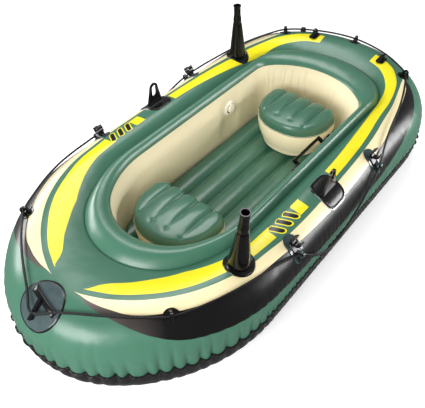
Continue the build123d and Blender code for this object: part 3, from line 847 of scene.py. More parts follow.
@dataclass
class InnerChamber:
    """The inner tube round the cockpit: a green crown and a cream wall that swells into the cockpit."""

    stations: Stations
    crown_finish: bpy.types.Material
    wall_finish: bpy.types.Material
    root: float = 0.363
    top: float = 0.404
    shoulder: float = 0.055
    rim: float = 0.366
    foot: float = 0.034
    swell: float = 0.012
    tuck: float = 0.02
    flats: Sequence[tuple[float, int]] = ((-0.336, -1), (-0.05, 1), (-0.33, 1))
    flat_reach: float = 0.075
    crease_depth: float = 0.0045
    crease_pitch: float = 0.052
    crease_seed: int = 11

    def crown_rows(self) -> Array:
        """The crown's rows, from the valley over to the wall's rim.

        Returns:
            The grid of points.
        """
        edge, inner = self.stations.on(GROOVE, 0.001), self.stations.on(COCKPIT)
        rise = self.top - self.root
        profile = [(0.0, self.root - self.tuck)]
        for share in np.linspace(0, 0.96, 22):
            profile.append((share / 2, self.root + rise * math.sin(share * QUARTER_TURN) ** 0.9))
        last = math.acos(1 - (self.top - self.rim) / self.shoulder)
        for angle in np.linspace(0, last, 18):
            profile.append(((1 + math.sin(angle)) / 2, self.top - self.shoulder * (1 - math.cos(angle))))
        ones = np.ones(len(edge))
        rows = [np.column_stack([edge + (inner - edge) * share, ones * high]) for share, high in profile]
        return np.array(rows)

    def wall_rows(self, start: Array) -> Array:
        """The wall's rows, from the crown's last row down to the floor.

        Args:
            start: The crown's last row.

        Returns:
            The grid of points. The wall's swell stops short of what is welded on it.
        """
        inner, outward = self.stations.on(COCKPIT), self.stations.outward()
        rim = float(start[0, 2])
        ones, firm = np.ones(len(inner)), np.ones(len(inner))
        for place, side in self.flats:
            near = np.exp(-(((inner[:, 0] - place) / self.flat_reach) ** 4)) * (inner[:, 1] * side > 0.2)
            firm -= near * 0.95
        rows = [start]
        for share in np.linspace(0, 1, 30)[1:]:
            blend = float(ease(0.0, 0.22, share))
            plan = start[:, :2] * (1 - blend) + inner * blend
            bulge = math.sin(math.pi * min(1.0, 0.12 + share * 0.88)) * float(ease(0, 0.3, share))
            plan = plan - outward * (self.swell * bulge * firm)[:, None]
            rows.append(np.column_stack([plan, ones * (rim + (self.foot - rim) * share)]))
        return np.array(rows)

    def crease(self, grid: Array) -> Array:
        """Presses upright creases into the wall where it turns, deepest at the tight stern corners.

        Args:
            grid: The wall's rows.

        Returns:
            The changed grid.
        """
        chance = np.random.default_rng(self.crease_seed)
        far, turn = self.stations.distance(), self.stations.turn
        tight = ease(0.25, 0.75, np.abs(turn)) * (1 - 0.75 * ease(1.35, 1.5, np.abs(turn)))
        tight *= np.where(turn < 0, 1.0, 0.45)
        drop = self.rim - grid[:, :, 2]
        push = np.zeros(grid.shape[:2])
        for spot in np.arange(0.02, far[-1], self.crease_pitch):
            place = spot + chance.uniform(-0.012, 0.012)
            wide = chance.uniform(0.005, 0.012)
            start, length = chance.uniform(-0.01, 0.06), chance.uniform(0.10, 0.24)
            lean = chance.uniform(-0.12, 0.12)
            gap = far[None, :] - place - lean * drop
            fade = ease(start, start + 0.03, drop) * (1 - ease(start + length * 0.5, start + length, drop))
            push += chance.uniform(0.4, 1.0) * np.exp(-((gap / wide) ** 2)) * fade
        moves = (push * self.crease_depth * tight[None, :])[:, :, None]
        grid[:, :, :2] += self.stations.outward()[None] * moves
        return grid

    def build(self) -> list[bpy.types.Object]:
        """Builds the tube.

        Returns:
            The crown and the wall.
        """
        crown_grid = self.crown_rows()
        wall_grid = self.crease(self.wall_rows(crown_grid[-1]))
        crown = grid_object("inner_chamber_crown", crown_grid, self.crown_finish, flip=True)
        wall = grid_object("inner_chamber_wall", wall_grid, self.wall_finish, flip=True)
        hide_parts("coaming_top")
        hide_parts("coaming_wall")
        return [crown, wall]


@dataclass
class Floor:
    """The floor mattress of five tubes between straight welds, and the black bottom sheet under it."""

    finish: bpy.types.Material
    bottom_finish: bpy.types.Material
    tubes: int = 5
    top: float = 0.070
    crown: float = 0.034
    weld: float = 0.010
    underside: float = 0.012
    end_drop: float = 0.020
    end_reach: float = 0.05
    sheet_lift: float = 0.0012

    def height(self, y: Array) -> Array:
        """The floor's height across the boat, with a narrow flat weld in each valley.

        Args:
            y: Places across the boat.

        Returns:
            The height at each.
        """
        width = 2 * COCKPIT.half_width / self.tubes
        share = np.mod((y + COCKPIT.half_width) / width, 1.0)
        off = np.abs(share - 0.5) * width
        half = (width - self.weld) / 2
        arch = np.sqrt(np.clip(1 - (off / half) ** 2, 0, 1))
        return self.top - self.crown * (1 - arch)

    def build(self) -> list[bpy.types.Object]:
        """Builds the floor, cut to the cockpit's outline.

        Returns:
            The mattress and the bottom sheet.
        """
        half = COCKPIT.half_width - 0.002
        across = np.linspace(-half, half, self.tubes * 24 + 1)
        turns = np.linspace(0, QUARTER_TURN, 400)
        ends = {}
        for way in Way:
            points = COCKPIT.at(np.full(len(turns), 1.0 if way is Way.BOW else 0.0), turns * way.value)
            ends[way] = np.interp(np.abs(across), points[::-1, 1], points[::-1, 0])
        shares = ((1 - np.cos(np.linspace(0, math.pi, 180))) / 2)[:, None]
        length = (ends[Way.BOW] - ends[Way.STERN])[None, :]
        x = ends[Way.STERN][None, :] + shares * length
        near_end = np.minimum(shares * length, (1 - shares) * length)
        drop = self.end_drop * (1 - ease(0.0, self.end_reach, near_end))
        z = np.broadcast_to(self.height(across), x.shape) - drop
        grid = np.stack([x, np.broadcast_to(across, x.shape), z], 2)
        under = grid.copy()
        under[:, :, 2] = self.underside
        floor = self.closed("floor_mattress", grid, under)
        edge = Stations(0.03).on(GROOVE)
        ones = np.ones(len(edge))
        ring = np.array([np.column_stack([edge * share, ones * (self.sheet_lift * (1 - share ** 8))])
                         for share in (1.0, 0.9, 0.7, 0.45, 0.2, 0.02)])
        bottom = grid_object("bottom_sheet_skin", ring, self.bottom_finish)
        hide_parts("floor_chamber")
        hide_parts("bottom_sheet")
        return [floor, bottom]

    def closed(self, name: str, upper: Array, lower: Array) -> bpy.types.Object:
        """Joins an upper and a lower grid of the same shape into one closed piece.

        Args:
            name: The piece's name.
            upper: The upper grid.
            lower: The lower grid.

        Returns:
            The piece.
        """
        rows, columns, _ = upper.shape
        count = rows * columns
        faces = [face[::-1] for face in grid_faces(rows, columns, False)]
        faces += [tuple(i + count for i in face[::-1]) for face in faces]
        rim = list(range(columns))
        rim += [i * columns + columns - 1 for i in range(1, rows)]
        rim += [(rows - 1) * columns + j for j in range(columns - 2, -1, -1)]
        rim += [i * columns for i in range(rows - 2, 0, -1)]
        for a, b in zip(rim, rim[1:] + rim[:1]):
            faces.append((a, b, b + count, a + count))
        points = np.concatenate([upper.reshape(-1, 3), lower.reshape(-1, 3)])
        return smooth_object(name, points, faces, self.finish)


# ---------------------------------------------------------------- seats


@dataclass
class Seat:
    """A loose inflated seat: a green top of five lobes over a cream side that draws in to its foot."""

    node: str
    top_finish: bpy.types.Material
    side_finish: bpy.types.Material
    lobes: int = 5
    groove_depth: float = 0.017
    groove_stop: float = 0.040
    groove_fade: tuple[float, float] = (0.090, 0.035)
    aft_dimple: float = 0.012
    fore_radius: float = 0.188
    aft_radius: float = 0.062
    crown: float = 0.020
    crown_share: float = 0.86
    roll: float = 0.054
    belly: float = 0.012
    taper: float = 0.17
    foot_radius: float = 0.030
    foot_inset: float = 0.10
    middle_share: float = 0.012
    bead_radius: float = 0.0012
    columns: int = 264

    def plan(self, low: Vector, high: Vector) -> Array:
        """The seat's D-shaped outline.

        Args:
            low: The lowest corner of the seat's room.
            high: Its highest corner.

        Returns:
            Evenly spaced points about the seat's middle.
        """
        length, half = (high.x - low.x) / 2, (high.y - low.y) / 2
        fore, aft = self.fore_radius, self.aft_radius
        corners = [(length - fore, half - fore, fore, 90, 0), (length - fore, fore - half, fore, 0, -90),
                   (aft - length, aft - half, aft, -90, -180), (aft - length, half - aft, aft, 180, 90)]
        line = []
        for x, y, radius, start, stop in corners:
            for angle in np.radians(np.linspace(start, stop, 40)):
                line.append((x + radius * math.cos(angle), y + radius * math.sin(angle)))
        return evenly(np.array(line + line[:1]), self.columns)[:-1]

    def lobe(self, x: Array, y: Array, length: float, half: float) -> Array:
        """How deep the grooves between the lobes are.

        Args:
            x: Places along the seat, from its middle.
            y: Places across it.
            length: Half its length.
            half: Half its width.

        Returns:
            From 0 on a lobe's crest to 1 in a weld, and a little past 1 in the dimple that ends a weld.
        """
        pitch = 2 * half / self.lobes
        share = np.abs(np.mod((y + half) / pitch, 1.0) - 0.5) * 2
        groove = 0.7 * np.clip(share, 0, 1) ** 3 + 0.3 * np.clip(share, 0, 1) ** 14
        outer = 1 - ease(half - pitch * 0.55, half - pitch * 0.35, np.abs(y))
        end = length - self.groove_stop
        stop = 1 - ease(end - 0.15, end, x)
        stop = stop + 0.35 * np.exp(-(((x - end + 0.02) / 0.012) ** 2))
        return groove * outer * stop

    def profile(self, tall: float) -> list[tuple[float, float, int]]:
        """The seat's section.

        Args:
            tall: The seat's height.

        Returns:
            Each ring's share of the outline, its height, and 1 on the side or 0 on the top.
        """
        flat, foot = self.crown_share, self.foot_radius
        rings = []
        for share in np.linspace(self.middle_share, flat, 46):
            rings.append((share, tall - self.crown * share ** 2, 0))
        edge = tall - self.crown * flat ** 2
        for angle in np.linspace(0.12, QUARTER_TURN, 14)[1:]:
            rings.append((flat + (1 - flat) * math.sin(angle), edge - self.roll * (1 - math.cos(angle)), 0))
        start = rings[-1][1]
        for share in np.linspace(0, 1, 30)[1:]:
            wide = 1.0 + self.belly * math.sin(math.pi * share ** 0.7) - self.taper * share ** 2.2
            rings.append((wide, start + (foot - start) * share, 1))
        last = rings[-1][0]
        for angle in np.linspace(0, QUARTER_TURN, 8)[1:]:
            rings.append((last - self.foot_inset * (1 - math.cos(angle)), foot * (1 - math.sin(angle)), 1))
        return rings + [(share, 0.0, 1) for share in (0.6, 0.3, self.middle_share)]

    def rows(self, low: Vector, high: Vector) -> tuple[Array, Array]:
        """The seat's rings, from the middle of its top over the edge and down to its underside.

        Args:
            low: The lowest corner of the seat's room.
            high: Its highest corner.

        Returns:
            The grid about the seat's middle, and 1 for each ring of the side and 0 for the top.
        """
        outline = self.plan(low, high)
        length, half = (high.x - low.x) / 2, (high.y - low.y) / 2
        tall = high.z - low.z
        rows, kinds = [], []
        for share, height, kind in self.profile(tall):
            plan = outline * share
            deep = self.lobe(plan[:, 0], plan[:, 1], length, half)
            up = ease(tall - self.groove_fade[0], tall - self.groove_fade[1], height)
            z = height - self.groove_depth * deep * up
            aft = ease(length * 0.72, length * 0.98, -plan[:, 0]) * up
            plan[:, 0] += self.aft_dimple * deep * aft
            rows.append(np.column_stack([plan, z]))
            kinds.append(kind)
        return np.array(rows), np.array(kinds)

    def build(self) -> list[bpy.types.Object]:
        """Builds the seat in the room that its solid holds.

        Returns:
            The cushion and its weld bead.
        """
        low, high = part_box(self.node)
        middle = (low.x + high.x) / 2
        grid, kinds = self.rows(low, high)
        grid += (middle, (low.y + high.y) / 2, low.z)
        rows, columns, _ = grid.shape
        faces = capped_faces(rows, columns)
        seat = smooth_object(f"{self.node}_cushion", grid.reshape(-1, 3), faces, self.top_finish)
        seat.data.materials.append(self.side_finish)
        polygons = seat.data.polygons
        for index in range((rows - 1) * columns):
            polygons[index].material_index = int(kinds[index // columns])
        polygons[len(polygons) - 1].material_index = 1
        bead = self.bead(grid[int(np.argmax(kinds)) - 1], middle)
        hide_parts(self.node)
        return [seat, bead]

    def bead(self, edge: Array, middle: float) -> bpy.types.Object:
        """The fine weld bead between the top and the side.

        Args:
            edge: The ring that it follows.
            middle: The seat's middle along the boat.

        Returns:
            The bead.
        """
        out = edge[:, :2] - (middle, 0.0)
        out /= np.linalg.norm(out, axis=1)[:, None]
        rows = []
        for angle in np.linspace(0, 2 * math.pi, 9)[:-1]:
            row = edge.copy()
            row[:, :2] += out * (self.bead_radius * math.cos(angle) - 0.0002)
            row[:, 2] += self.bead_radius * math.sin(angle)
            rows.append(row)
        rows.append(rows[0])
        return grid_object(f"{self.node}_weld_bead", np.array(rows), self.side_finish, flip=True)


# ---------------------------------------------------------------- patches on the skin

PROBE_START = 0.08
PROBE_REACH = 0.25


@dataclass(frozen=True)
class Spot:
    """A place on the hull's skin, with the way along the hull there and the skin's own direction."""

    origin: Vector
    along: Vector
    normal: Vector

    @staticmethod
    def shoulder(foot: Vector, outward: Vector, tilt: float) -> "Spot":
        """A place on the shoulder.

        Args:
            foot: The hull's outline below it.
            outward: The outline's direction there.
            tilt: The height angle of the skin's direction, in degrees.

        Returns:
            The place.
        """
        angle = math.radians(tilt)
        normal = outward * math.cos(angle) + Vector((0, 0, math.sin(angle)))
        centre = foot - outward * SHOULDER + Vector((0, 0, DECK - SHOULDER))
        return Spot(centre + normal * SHOULDER, Vector((0, 0, 1)).cross(outward), normal)


@dataclass
class SkinPatch:
    """A die-cut patch welded on the skin, which it follows, with a soft raised rim."""

    name: str
    spot: Spot
    finish: bpy.types.Material
    radii: Callable[[Array], Array]
    thickness: float = 0.0030
    rim: float = 0.0016
    hole: float = 0.0
    sunk: float = 0.001
    columns: int = 96

    def build(self, skin: BVHTree) -> bpy.types.Object:
        """Lays the patch on the skin.

        Args:
            skin: The hull's skin.

        Returns:
            The patch.
        """
        spot, columns = self.spot, self.columns
        side = spot.normal.cross(spot.along)
        angles = np.linspace(0, 2 * math.pi, columns, endpoint=False)
        reach = self.radii(angles)
        inner = np.linspace(self.hole, 0.95, 6) if self.hole else np.linspace(0.02, 0.93, 16)
        shares = np.concatenate([inner, [0.955, 0.975, 0.99, 1.0]])
        lift = self.thickness + self.rim * np.exp(-(((shares - 0.95) / 0.022) ** 2))
        lift = np.where((shares > 0.985) | (shares < self.hole + 1e-6), lift * 0.55, lift)
        top, base = [], []
        for share, high in zip(shares, lift):
            upper, lower = [], []
            for angle, far in zip(angles, reach):
                flat = spot.along * math.cos(angle) * far * share + side * math.sin(angle) * far * share
                start = spot.origin + flat + spot.normal * PROBE_START
                place, normal, _, _ = skin.ray_cast(start, -spot.normal, PROBE_REACH)
                if place is None:
                    place, normal, _, _ = skin.find_nearest(spot.origin + flat)
                if normal.dot(spot.normal) < 0:
                    normal = -normal
                upper.append(tuple(place + normal * high))
                lower.append(tuple(place - normal * self.sunk))
            top.append(upper)
            base.append(lower)
        points = np.array(base + top[::-1])
        if self.hole:
            whole = len(points) * columns
            faces = [tuple(i % whole for i in face) for face in grid_faces(len(points) + 1, columns, True)]
        else:
            faces = capped_faces(len(points), columns)
        return smooth_object(self.name, points.reshape(-1, 3), faces, self.finish)


def disc(radius: float) -> Callable[[Array], Array]:
    """A round cut."""
    return lambda angles: np.full(len(angles), radius)


def squircle(length: float, width: float, power: float = 4.0) -> Callable[[Array], Array]:
    """A rounded rectangle, as a superellipse.

    Args:
        length: Its length.
        width: Its width.
        power: The superellipse's power.

    Returns:
        What gives the cut's radius at each angle.
    """

    def radii(angles: Array) -> Array:
        """The cut's radius at each angle."""
        a, b = np.abs(np.cos(angles)) / (length / 2), np.abs(np.sin(angles)) / (width / 2)
        return (a ** power + b ** power) ** (-1 / power)

    return radii


# ---------------------------------------------------------------- the grab rope


@dataclass
class GrabRope:
    """One laid rope through every eye round the hull, tied in a knot on the starboard quarter."""

    finish: bpy.types.Material
    diameter: float = 0.010
    length: float = 5.93
    lay_pitch: float = 0.038
    knot_place: int = 28
    knot_length: float = 0.034
    knot_turns: float = 3.4
    knot_radius: float = 0.0086
    knot_swell: float = 0.0012
    turn_radius: float = 0.0046
    sample: float = 0.003
    port: Sequence[Point] = (
        (1.223, 0.0, 0.388), (1.167, 0.068, 0.405), (1.124, 0.139, 0.415), (1.083, 0.204, 0.417),
        (1.033, 0.277, 0.415), (0.980, 0.343, 0.412), (0.925, 0.408, 0.409), (0.836, 0.452, 0.405),
        (0.735, 0.495, 0.404), (0.629, 0.527, 0.399), (0.530, 0.546, 0.391), (0.445, 0.565, 0.375),
        (0.364, 0.590, 0.355), (0.290, 0.614, 0.287), (0.200, 0.617, 0.228), (0.110, 0.618, 0.205),
        (0.020, 0.617, 0.225), (-0.070, 0.616, 0.262), (-0.155, 0.610, 0.297), (-0.230, 0.603, 0.326),
        (-0.300, 0.590, 0.352), (-0.390, 0.560, 0.382), (-0.490, 0.531, 0.401), (-0.590, 0.510, 0.411),
        (-0.685, 0.490, 0.417), (-0.780, 0.462, 0.422), (-0.885, 0.425, 0.423), (-0.985, 0.385, 0.422),
        (-1.052, 0.300, 0.418), (-1.107, 0.205, 0.417), (-1.135, 0.100, 0.419))
    stern: Point = (-1.143, 0.0, 0.422)

    def route(self) -> list[Vector]:
        """The rope's route, from one face of the knot right round the hull to the other.

        Returns:
            The route's points.
        """
        port = [Vector(p) for p in self.port]
        starboard = [Vector((p.x, -p.y, p.z)) for p in port[1:]]
        place = self.knot_place
        loop = starboard[place - 1 :: -1] + port + [Vector(self.stern)] + starboard[: place - 1 : -1]
        half = (loop[1] - loop[-1]).normalized() * (self.knot_length / 2)
        return [loop[0] + half, *loop[1:], loop[0] - half]

    def line(self) -> Array:
        """Reads the middle of the rope from its route's NURBS spline.

        Returns:
            Evenly spaced points.
        """
        curve = bpy.data.curves.new("grab_rope_route", "CURVE")
        curve.dimensions = "3D"
        curve.resolution_u = 24
        spline = curve.splines.new("NURBS")
        route = self.route()
        spline.points.add(len(route) - 1)
        for point, place in zip(spline.points, route):
            point.co = (*place, 1.0)
        spline.order_u = 3
        spline.use_endpoint_u = True
        holder = bpy.data.objects.new("grab_rope_route", curve)
        mesh = bpy.data.meshes.new_from_object(holder)
        line = np.array([v.co for v in mesh.vertices], float)
        bpy.data.meshes.remove(mesh)
        bpy.data.objects.remove(holder)
        length = float(np.sum(np.linalg.norm(np.diff(line, axis=0), axis=1)))
        return evenly(line, round(length / self.sample))

    def strands(self, name: str, line: Array, radius: float) -> bpy.types.Object:
        """A rope of three strands laid round each other along a line.

        Args:
            name: The piece's name.
            line: The points that it follows.
            radius: The rope's radius.

        Returns:
            The rope.
        """
        tangent = np.gradient(line, axis=0)
        tangent /= np.linalg.norm(tangent, axis=1)[:, None]
        across = np.cross(tangent[0], (0.0, 0.0, 1.0))
        far = np.concatenate([[0], np.cumsum(np.linalg.norm(np.diff(line, axis=0), axis=1))])
        angles = np.linspace(0, 2 * math.pi, 18, endpoint=False)
        wide = radius * (0.80 + 0.24 * np.abs(np.cos(1.5 * angles)))
        rings = []
        for place, way, at in zip(line, tangent, far):
            across = across - way * float(across @ way)
            across /= np.linalg.norm(across)
            up = np.cross(way, across)
            turned = angles + 2 * math.pi * at / self.lay_pitch
            sideways = np.outer(np.cos(turned) * wide, across)
            rings.append(place + sideways + np.outer(np.sin(turned) * wide, up))
        grid = np.array(rings)
        rows, columns, _ = grid.shape
        # Each face starts one corner on, so that it splits along the strand's own lay.
        faces = [face[1:] + face[:1] for face in capped_faces(rows, columns)]
        return smooth_object(name, grid.reshape(-1, 3), faces, self.finish)

    def knot(self) -> bpy.types.Object:
        """The knot: both ends lie together inside three tight turns.

        Returns:
            The turns.
        """
        route = self.route()
        start, end = route[0], route[-1]
        along = (start - end).normalized()
        across = along.cross(Vector((0, 0, 1))).normalized()
        up = along.cross(across)
        line = []
        for share in np.linspace(0, 1, 160):
            angle = 2 * math.pi * self.knot_turns * share
            far = self.knot_radius + self.knot_swell * math.sin(math.pi * share)
            centre = end + (start - end) * (0.12 + 0.76 * share)
            line.append(tuple(centre + across * (far * math.cos(angle)) + up * (far * math.sin(angle))))
        return self.strands("grab_rope_knot_turns", np.array(line), self.turn_radius)

    def build(self) -> list[bpy.types.Object]:
        """Builds the rope and its knot.

        Returns:
            The rope, the knot's turns, and the rope's heart through the knot.
        """
        line = self.line()
        radius = self.diameter / 2
        rope = self.strands("grab_rope_laid", line, radius)
        knot = self.knot()
        heart = self.strands("grab_rope_knot_heart", np.linspace(line[-1], line[0], 14), radius)
        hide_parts("grab_rope")
        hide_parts("grab_rope_knot")
        return [rope, knot, heart]


# ---------------------------------------------------------------- deck fittings


@dataclass
class Fittings:
    """The moulded fittings, in their own finishes, and the patches that they are welded down with."""

    skin: BVHTree
    moulded: bpy.types.Material
    hard: bpy.types.Material
    valve: bpy.types.Material
    smoky: bpy.types.Material
    pale: bpy.types.Material
    clear: bpy.types.Material
    rod_holder_at: tuple[float, float] = (0.590, 0.445)
    rod_flange_radius: float = 0.062
    rowlock_at: float = 0.030
    rowlock_tilt: float = 66.0
    rowlock_size: float = 0.140
    skirt_tilt: float = 63.0
    skirt_size: float = 0.143
    clip_tilt: float = 39.0
    tow_tilt: float = 60.0
    tow_radius: float = 0.090
    tow_rim_radius: float = 0.094
    clips_at: Sequence[tuple[str, float]] = (("forward", 0.365), ("aft", -0.300))
    collar_at: Point = (-0.336, -0.3065, 0.250)
    collar_section: Sequence[tuple[float, float]] = (
        (0.021, 0.004), (0.024, 0.0045), (0.027, 0.0085), (0.031, 0.0105), (0.035, 0.0095),
        (0.039, 0.0055), (0.044, 0.0020), (0.046, -0.004))
    strap_half_length: float = 0.072
    strap_offset: float = 0.022
    strap_half_width: float = 0.011
    strap_flare: float = 0.004
    strap_rise: float = 0.011
    strap_half_thickness: float = 0.0035

    def dress(self, nodes: dict[str, bpy.types.Object]) -> None:
        """Gives each CAD fitting its finish by its name.

        Args:
            nodes: The CAD nodes by name.
        """
        for name, node in nodes.items():
            if node.hide_render:
                continue
            finish = self.moulded
            if name.startswith(("rod_holder", "carry_handle_grip")):
                finish = self.hard
            elif "valve" in name:
                finish = self.valve
            elif name.startswith("oar_clip_patch"):
                finish = self.smoky
            node.data.materials.clear()
            node.data.materials.append(finish)

    def on_side(self, side: Side, place: float, tilt: float) -> Spot:
        """A place on the shoulder of the straight side.

        Args:
            side: Which side.
            place: Its X.
            tilt: The height angle of the skin's direction, in degrees.

        Returns:
            The place.
        """
        foot = Vector((place, side.value * HULL.half_width, 0))
        return Spot.shoulder(foot, Vector((0, side.value, 0)), tilt)

    def lay(self, patch: SkinPatch, slot: str, node: str | None = None) -> bpy.types.Object:
        """Lays a patch on the hull's skin.

        Args:
            patch: The patch.
            slot: A material slot's name; not used.
            node: The CAD node that it replaces.

        Returns:
            The piece.
        """
        piece = patch.build(self.skin)
        if node:
            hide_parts(node)
        return piece

    def patches(self) -> list[bpy.types.Object]:
        """Builds every patch on the hull's skin, and the valve's collar.

        Returns:
            The pieces.
        """
        built = []
        for name, way, side in (("port", 1, Side.PORT), ("starboard", -1, Side.STARBOARD)):
            x, y = self.rod_holder_at
            spot = Spot(Vector((way * x, side.value * y, DECK)), Vector((1, 0, 0)), Vector((0, 0, 1)))
            cut = disc(self.rod_flange_radius)
            flange = SkinPatch(f"rod_holder_flange_{name}", spot, self.moulded, cut, 0.0036)
            built.append(self.lay(flange, "moulded_black", f"rod_holder_patch_{name}"))
            spot = self.on_side(side, self.rowlock_at, self.rowlock_tilt)
            cut = squircle(self.rowlock_size, self.rowlock_size)
            plate = SkinPatch(f"rowlock_plate_{name}", spot, self.moulded, cut, 0.0034, 0.0030)
            built.append(self.lay(plate, "moulded_black", f"rowlock_patch_{name}"))
        tow = Spot.shoulder(Vector((HULL.bow, 0, 0)), Vector((1, 0, 0)), self.tow_tilt)
        round_patch = SkinPatch("tow_patch_disc", tow, self.pale, disc(self.tow_radius), 0.0022, 0.0006)
        rim = SkinPatch("tow_patch_rim", tow, self.moulded, disc(self.tow_rim_radius), 0.0030, 0.0010, 0.93)
        built += [self.lay(round_patch, "smoky_pvc", "tow_patch"), self.lay(rim, "black_pvc")]
        return built + [self.tow_strap(tow), *self.skirts(), *self.clip_tongues(), self.valve_collar()]

    def skirts(self) -> list[bpy.types.Object]:
        """Builds the clear welding skirts that show round the rowlock plates.

        Returns:
            The two skirts.
        """
        built = []
        for side in Side:
            spot = self.on_side(side, self.rowlock_at, self.skirt_tilt)
            name = f"rowlock_skirt_{side.name.lower()}"
            cut = squircle(self.skirt_size, self.skirt_size)
            skirt = SkinPatch(name, spot, self.clear, cut, 0.0012, 0.0006)
            built.append(self.lay(skirt, "smoky_pvc"))
        return built

    def clip_tongues(self) -> list[bpy.types.Object]:
        """Builds the clips' own moulded tongues, welded down the outboard side of their patches.

        Returns:
            The four tongues.
        """
        built = []
        for side in Side:
            for name, place in self.clips_at:
                spot = self.on_side(side, place, self.clip_tilt)
                label = f"oar_clip_tongue_{side.name.lower()}_{name}"
                tongue = SkinPatch(label, spot, self.moulded, squircle(0.040, 0.104, 2.4), 0.0066, 0.0012)
                built.append(self.lay(tongue, "moulded_black"))
        return built

    def valve_collar(self) -> bpy.types.Object:
        """The soft welded collar round the inner chamber's valve, its dished seat painted black as painted
        shade.

        Returns:
            The collar.
        """
        x, y, z = self.collar_at
        angles = np.linspace(0, 2 * math.pi, 72, endpoint=False)
        grid = np.array([[(x + far * math.cos(a), y + high, z + far * math.sin(a)) for a in angles]
                         for far, high in self.collar_section])
        collar = grid_object("coaming_valve_collar", grid, self.valve)
        # Painted shade: the collar's innermost bands take the black finish, standing for the shadow in the
        # recess round the valve.
        collar.data.materials.append(self.moulded)
        for face in collar.data.polygons[: 2 * len(angles)]:
            face.material_index = 1
        return collar

    def tow_strap(self, spot: Spot) -> bpy.types.Object:
        """The moulded strap that stands proud across the tow patch, flattening into the disc at both ends.

        Args:
            spot: The tow patch's place.

        Returns:
            The strap.
        """
        side = spot.normal.cross(spot.along)
        way = (spot.along * 0.97 - side * 0.24).normalized()
        wide = spot.normal.cross(way)
        rings = []
        for share in np.linspace(-1, 1, 41):
            place = spot.origin + way * (self.strap_half_length * share) + wide * self.strap_offset
            hit, _, _, _ = self.skin.ray_cast(place + spot.normal * PROBE_START, -spot.normal, PROBE_REACH)
            base = hit if hit is not None else place
            lift = 0.002 + self.strap_rise * math.sqrt(max(0.0, 1 - share ** 4))
            half = self.strap_half_width + self.strap_flare * share ** 4
            ring = []
            for angle in np.linspace(0, 2 * math.pi, 14, endpoint=False):
                c, s = math.cos(angle), math.sin(angle)
                across = math.copysign(abs(c) ** 0.6, c) * half
                up = math.copysign(abs(s) ** 0.8, s) * self.strap_half_thickness
                ring.append(tuple(base + wide * across + spot.normal * (lift + up)))
            rings.append(ring)
        grid = np.array(rings)
        faces = capped_faces(*grid.shape[:2])
        strap = smooth_object("tow_patch_strap", grid.reshape(-1, 3), faces, self.moulded)
        return strap


# ---------------------------------------------------------------- studio


@dataclass(frozen=True)
class Studio:
    """A pale sweep, soft boxes and the camera."""

    camera_at: Point = (1.629, 1.150, 2.021)
    look_at: Point = (0.219, 0.021, 0.151)
    lens: float = 45.9
    floor_reach: float = 60.0
    floor_glow: float = 0.24
    air_glow: float = 0.24

    def camera(self) -> None:
        """Sets the camera up."""
        data = bpy.data.cameras.new("camera")
        data.lens = self.lens
        data.sensor_width = 36.0
        data.clip_start, data.clip_end = 0.05, 60.0
        camera = bpy.data.objects.new("camera", data)
        camera.location = self.camera_at
        toward = Vector(self.look_at) - Vector(self.camera_at)
        camera.rotation_mode = "QUATERNION"
        camera.rotation_quaternion = toward.to_track_quat("-Z", "Y")
        bpy.context.scene.collection.objects.link(camera)
        bpy.context.scene.camera = camera

    def soft_box(self, name: str, place: Point, target: Point, size: tuple[float, float], power: float,
                 shows: bool = True) -> None:
        """Adds an area light that faces a point.

        Args:
            name: Its name.
            place: Where it hangs.
            target: The point that it faces.
            size: Its width and height.
            power: Its power in watts.
            shows: Whether glossy surfaces mirror it.
        """
        data = bpy.data.lights.new(name, "AREA")
        data.shape = "RECTANGLE"
        data.size, data.size_y = size
        data.energy = power
        light = bpy.data.objects.new(name, data)
        light.location = place
        light.visible_glossy = shows
        light.rotation_mode = "QUATERNION"
        light.rotation_quaternion = (Vector(target) - Vector(place)).to_track_quat("-Z", "Y")
        bpy.context.scene.collection.objects.link(light)

    def build(self) -> None:
        """Builds the floor, the lights and the sky."""
        sheet = bpy.data.meshes.new("studio_floor")
        far = self.floor_reach
        corners = [(-far, -far, 0), (far, -far, 0), (far, far, 0), (-far, far, 0)]
        sheet.from_pydata(corners, [], [(0, 1, 2, 3)])
        sheet.materials.append(Shader("seamless_paper").finish(
            Base_Color=srgb("#f4f4f4"), Roughness=0.75, Emission_Color=srgb("#ffffff"),
            Emission_Strength=self.floor_glow))
        floor = bpy.data.objects.new("studio_floor", sheet)
        floor.location.z = -0.0005
        bpy.context.scene.collection.objects.link(floor)
        floor.visible_glossy = False
        self.soft_box("overhead_box", (-1.0, -0.9, 3.2), (0, 0, 0.2), (2.4, 1.6), 78)
        self.soft_box("starboard_box", (1.0, -3.2, 1.35), (0.6, 0, 0.3), (2.4, 1.1), 95)
        self.soft_box("port_strip", (-2.1, 2.7, 0.95), (0, 0.5, 0.3), (2.0, 1.1), 98)
        self.soft_box("bow_box", (3.3, 0.2, 1.5), (1.1, 0.2, 0.3), (1.8, 1.3), 84)
        self.soft_box("front_fill", (2.8, 1.5, 2.3), (-0.2, -0.1, 0.2), (2.2, 1.8), 62, shows=False)
        world = bpy.data.worlds.new("studio_air")
        world.use_nodes = True
        background = world.node_tree.nodes["Background"]
        background.inputs["Color"].default_value = srgb("#ffffff")
        background.inputs["Strength"].default_value = self.air_glow
        bpy.context.scene.world = world
        bpy.context.scene.view_settings.view_transform = "Standard"


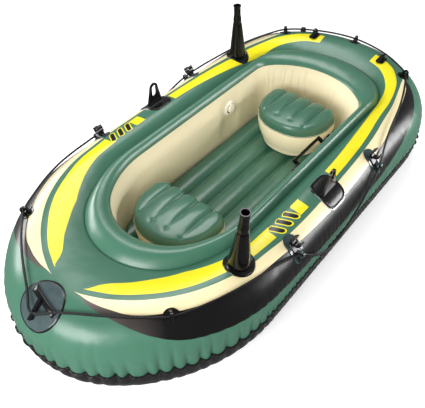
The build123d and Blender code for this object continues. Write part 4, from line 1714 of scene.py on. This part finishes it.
# ---------------------------------------------------------------- the boat


def report(pieces: Sequence[bpy.types.Object], body: str) -> None:
    """Sets pieces on a body and logs each.

    Args:
        pieces: The pieces.
        body: The body that they ride on.
    """
    for piece in pieces:
        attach(piece, body)
        LOG.info("%s: %d faces on %s", piece.name, len(piece.data.polygons), body)


def main() -> None:
    """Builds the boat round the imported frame."""
    logging.basicConfig(level=logging.INFO, format="%(name)s %(message)s")
    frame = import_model()
    studio = Studio()
    studio.camera()

    rope = GrabRope(LaidRope("laid_polypropylene_rope").make())
    report(rope.build(), "hull")

    green = CalenderedVinyl("calendered_pvc_green", "#38634f", "#527f6d").make()
    printed = PrintedVinyl("screen_printed_pvc_green", "#38634f", "#527f6d").make()
    cream = CalenderedVinyl("calendered_pvc_cream", "#eee1bd", "#f4ebd2", 0.30).make()
    black = CalenderedVinyl("calendered_pvc_black", "#0b0a0b", "#1d1b1c", 0.26).make()

    stations = Stations()
    outer = OuterChamber(stations, printed, black).build()
    report(outer, "hull")
    report(InnerChamber(stations, green, cream).build(), "hull")
    report(Floor(green, black).build(), "hull")
    for name in ("front_seat", "rear_seat"):
        report(Seat(name, green, cream).build(), name)

    top_sheet = outer[0].data
    skin = BVHTree.FromPolygons([v.co for v in top_sheet.vertices],
                                [tuple(p.vertices) for p in top_sheet.polygons])
    fittings = Fittings(
        skin,
        moulded=MouldedVinyl("injection_moulded_pvc_black").make(),
        hard=MouldedVinyl("injection_moulded_abs_black", "#060606", "#161617", 0.14, 0.34).make(),
        valve=MouldedVinyl("moulded_pvc_valve_white", "#f2ead6", "#d8cfb8", 0.3).make(),
        smoky=ClearVinyl("die_cut_pvc_smoky", "#2e3d40", "#4a5b5e", 0.35).make(),
        pale=ClearVinyl("die_cut_pvc_pale_smoke", "#3a494c", "#586769", 0.30).make(),
        clear=ClearVinyl("die_cut_pvc_clear", "#f6f8f7", "#fdfefe", 0.6).make())
    report(fittings.patches(), "hull")
    fittings.dress(frame["nodes"])

    studio.build()


if __name__ == "__main__":
    main()
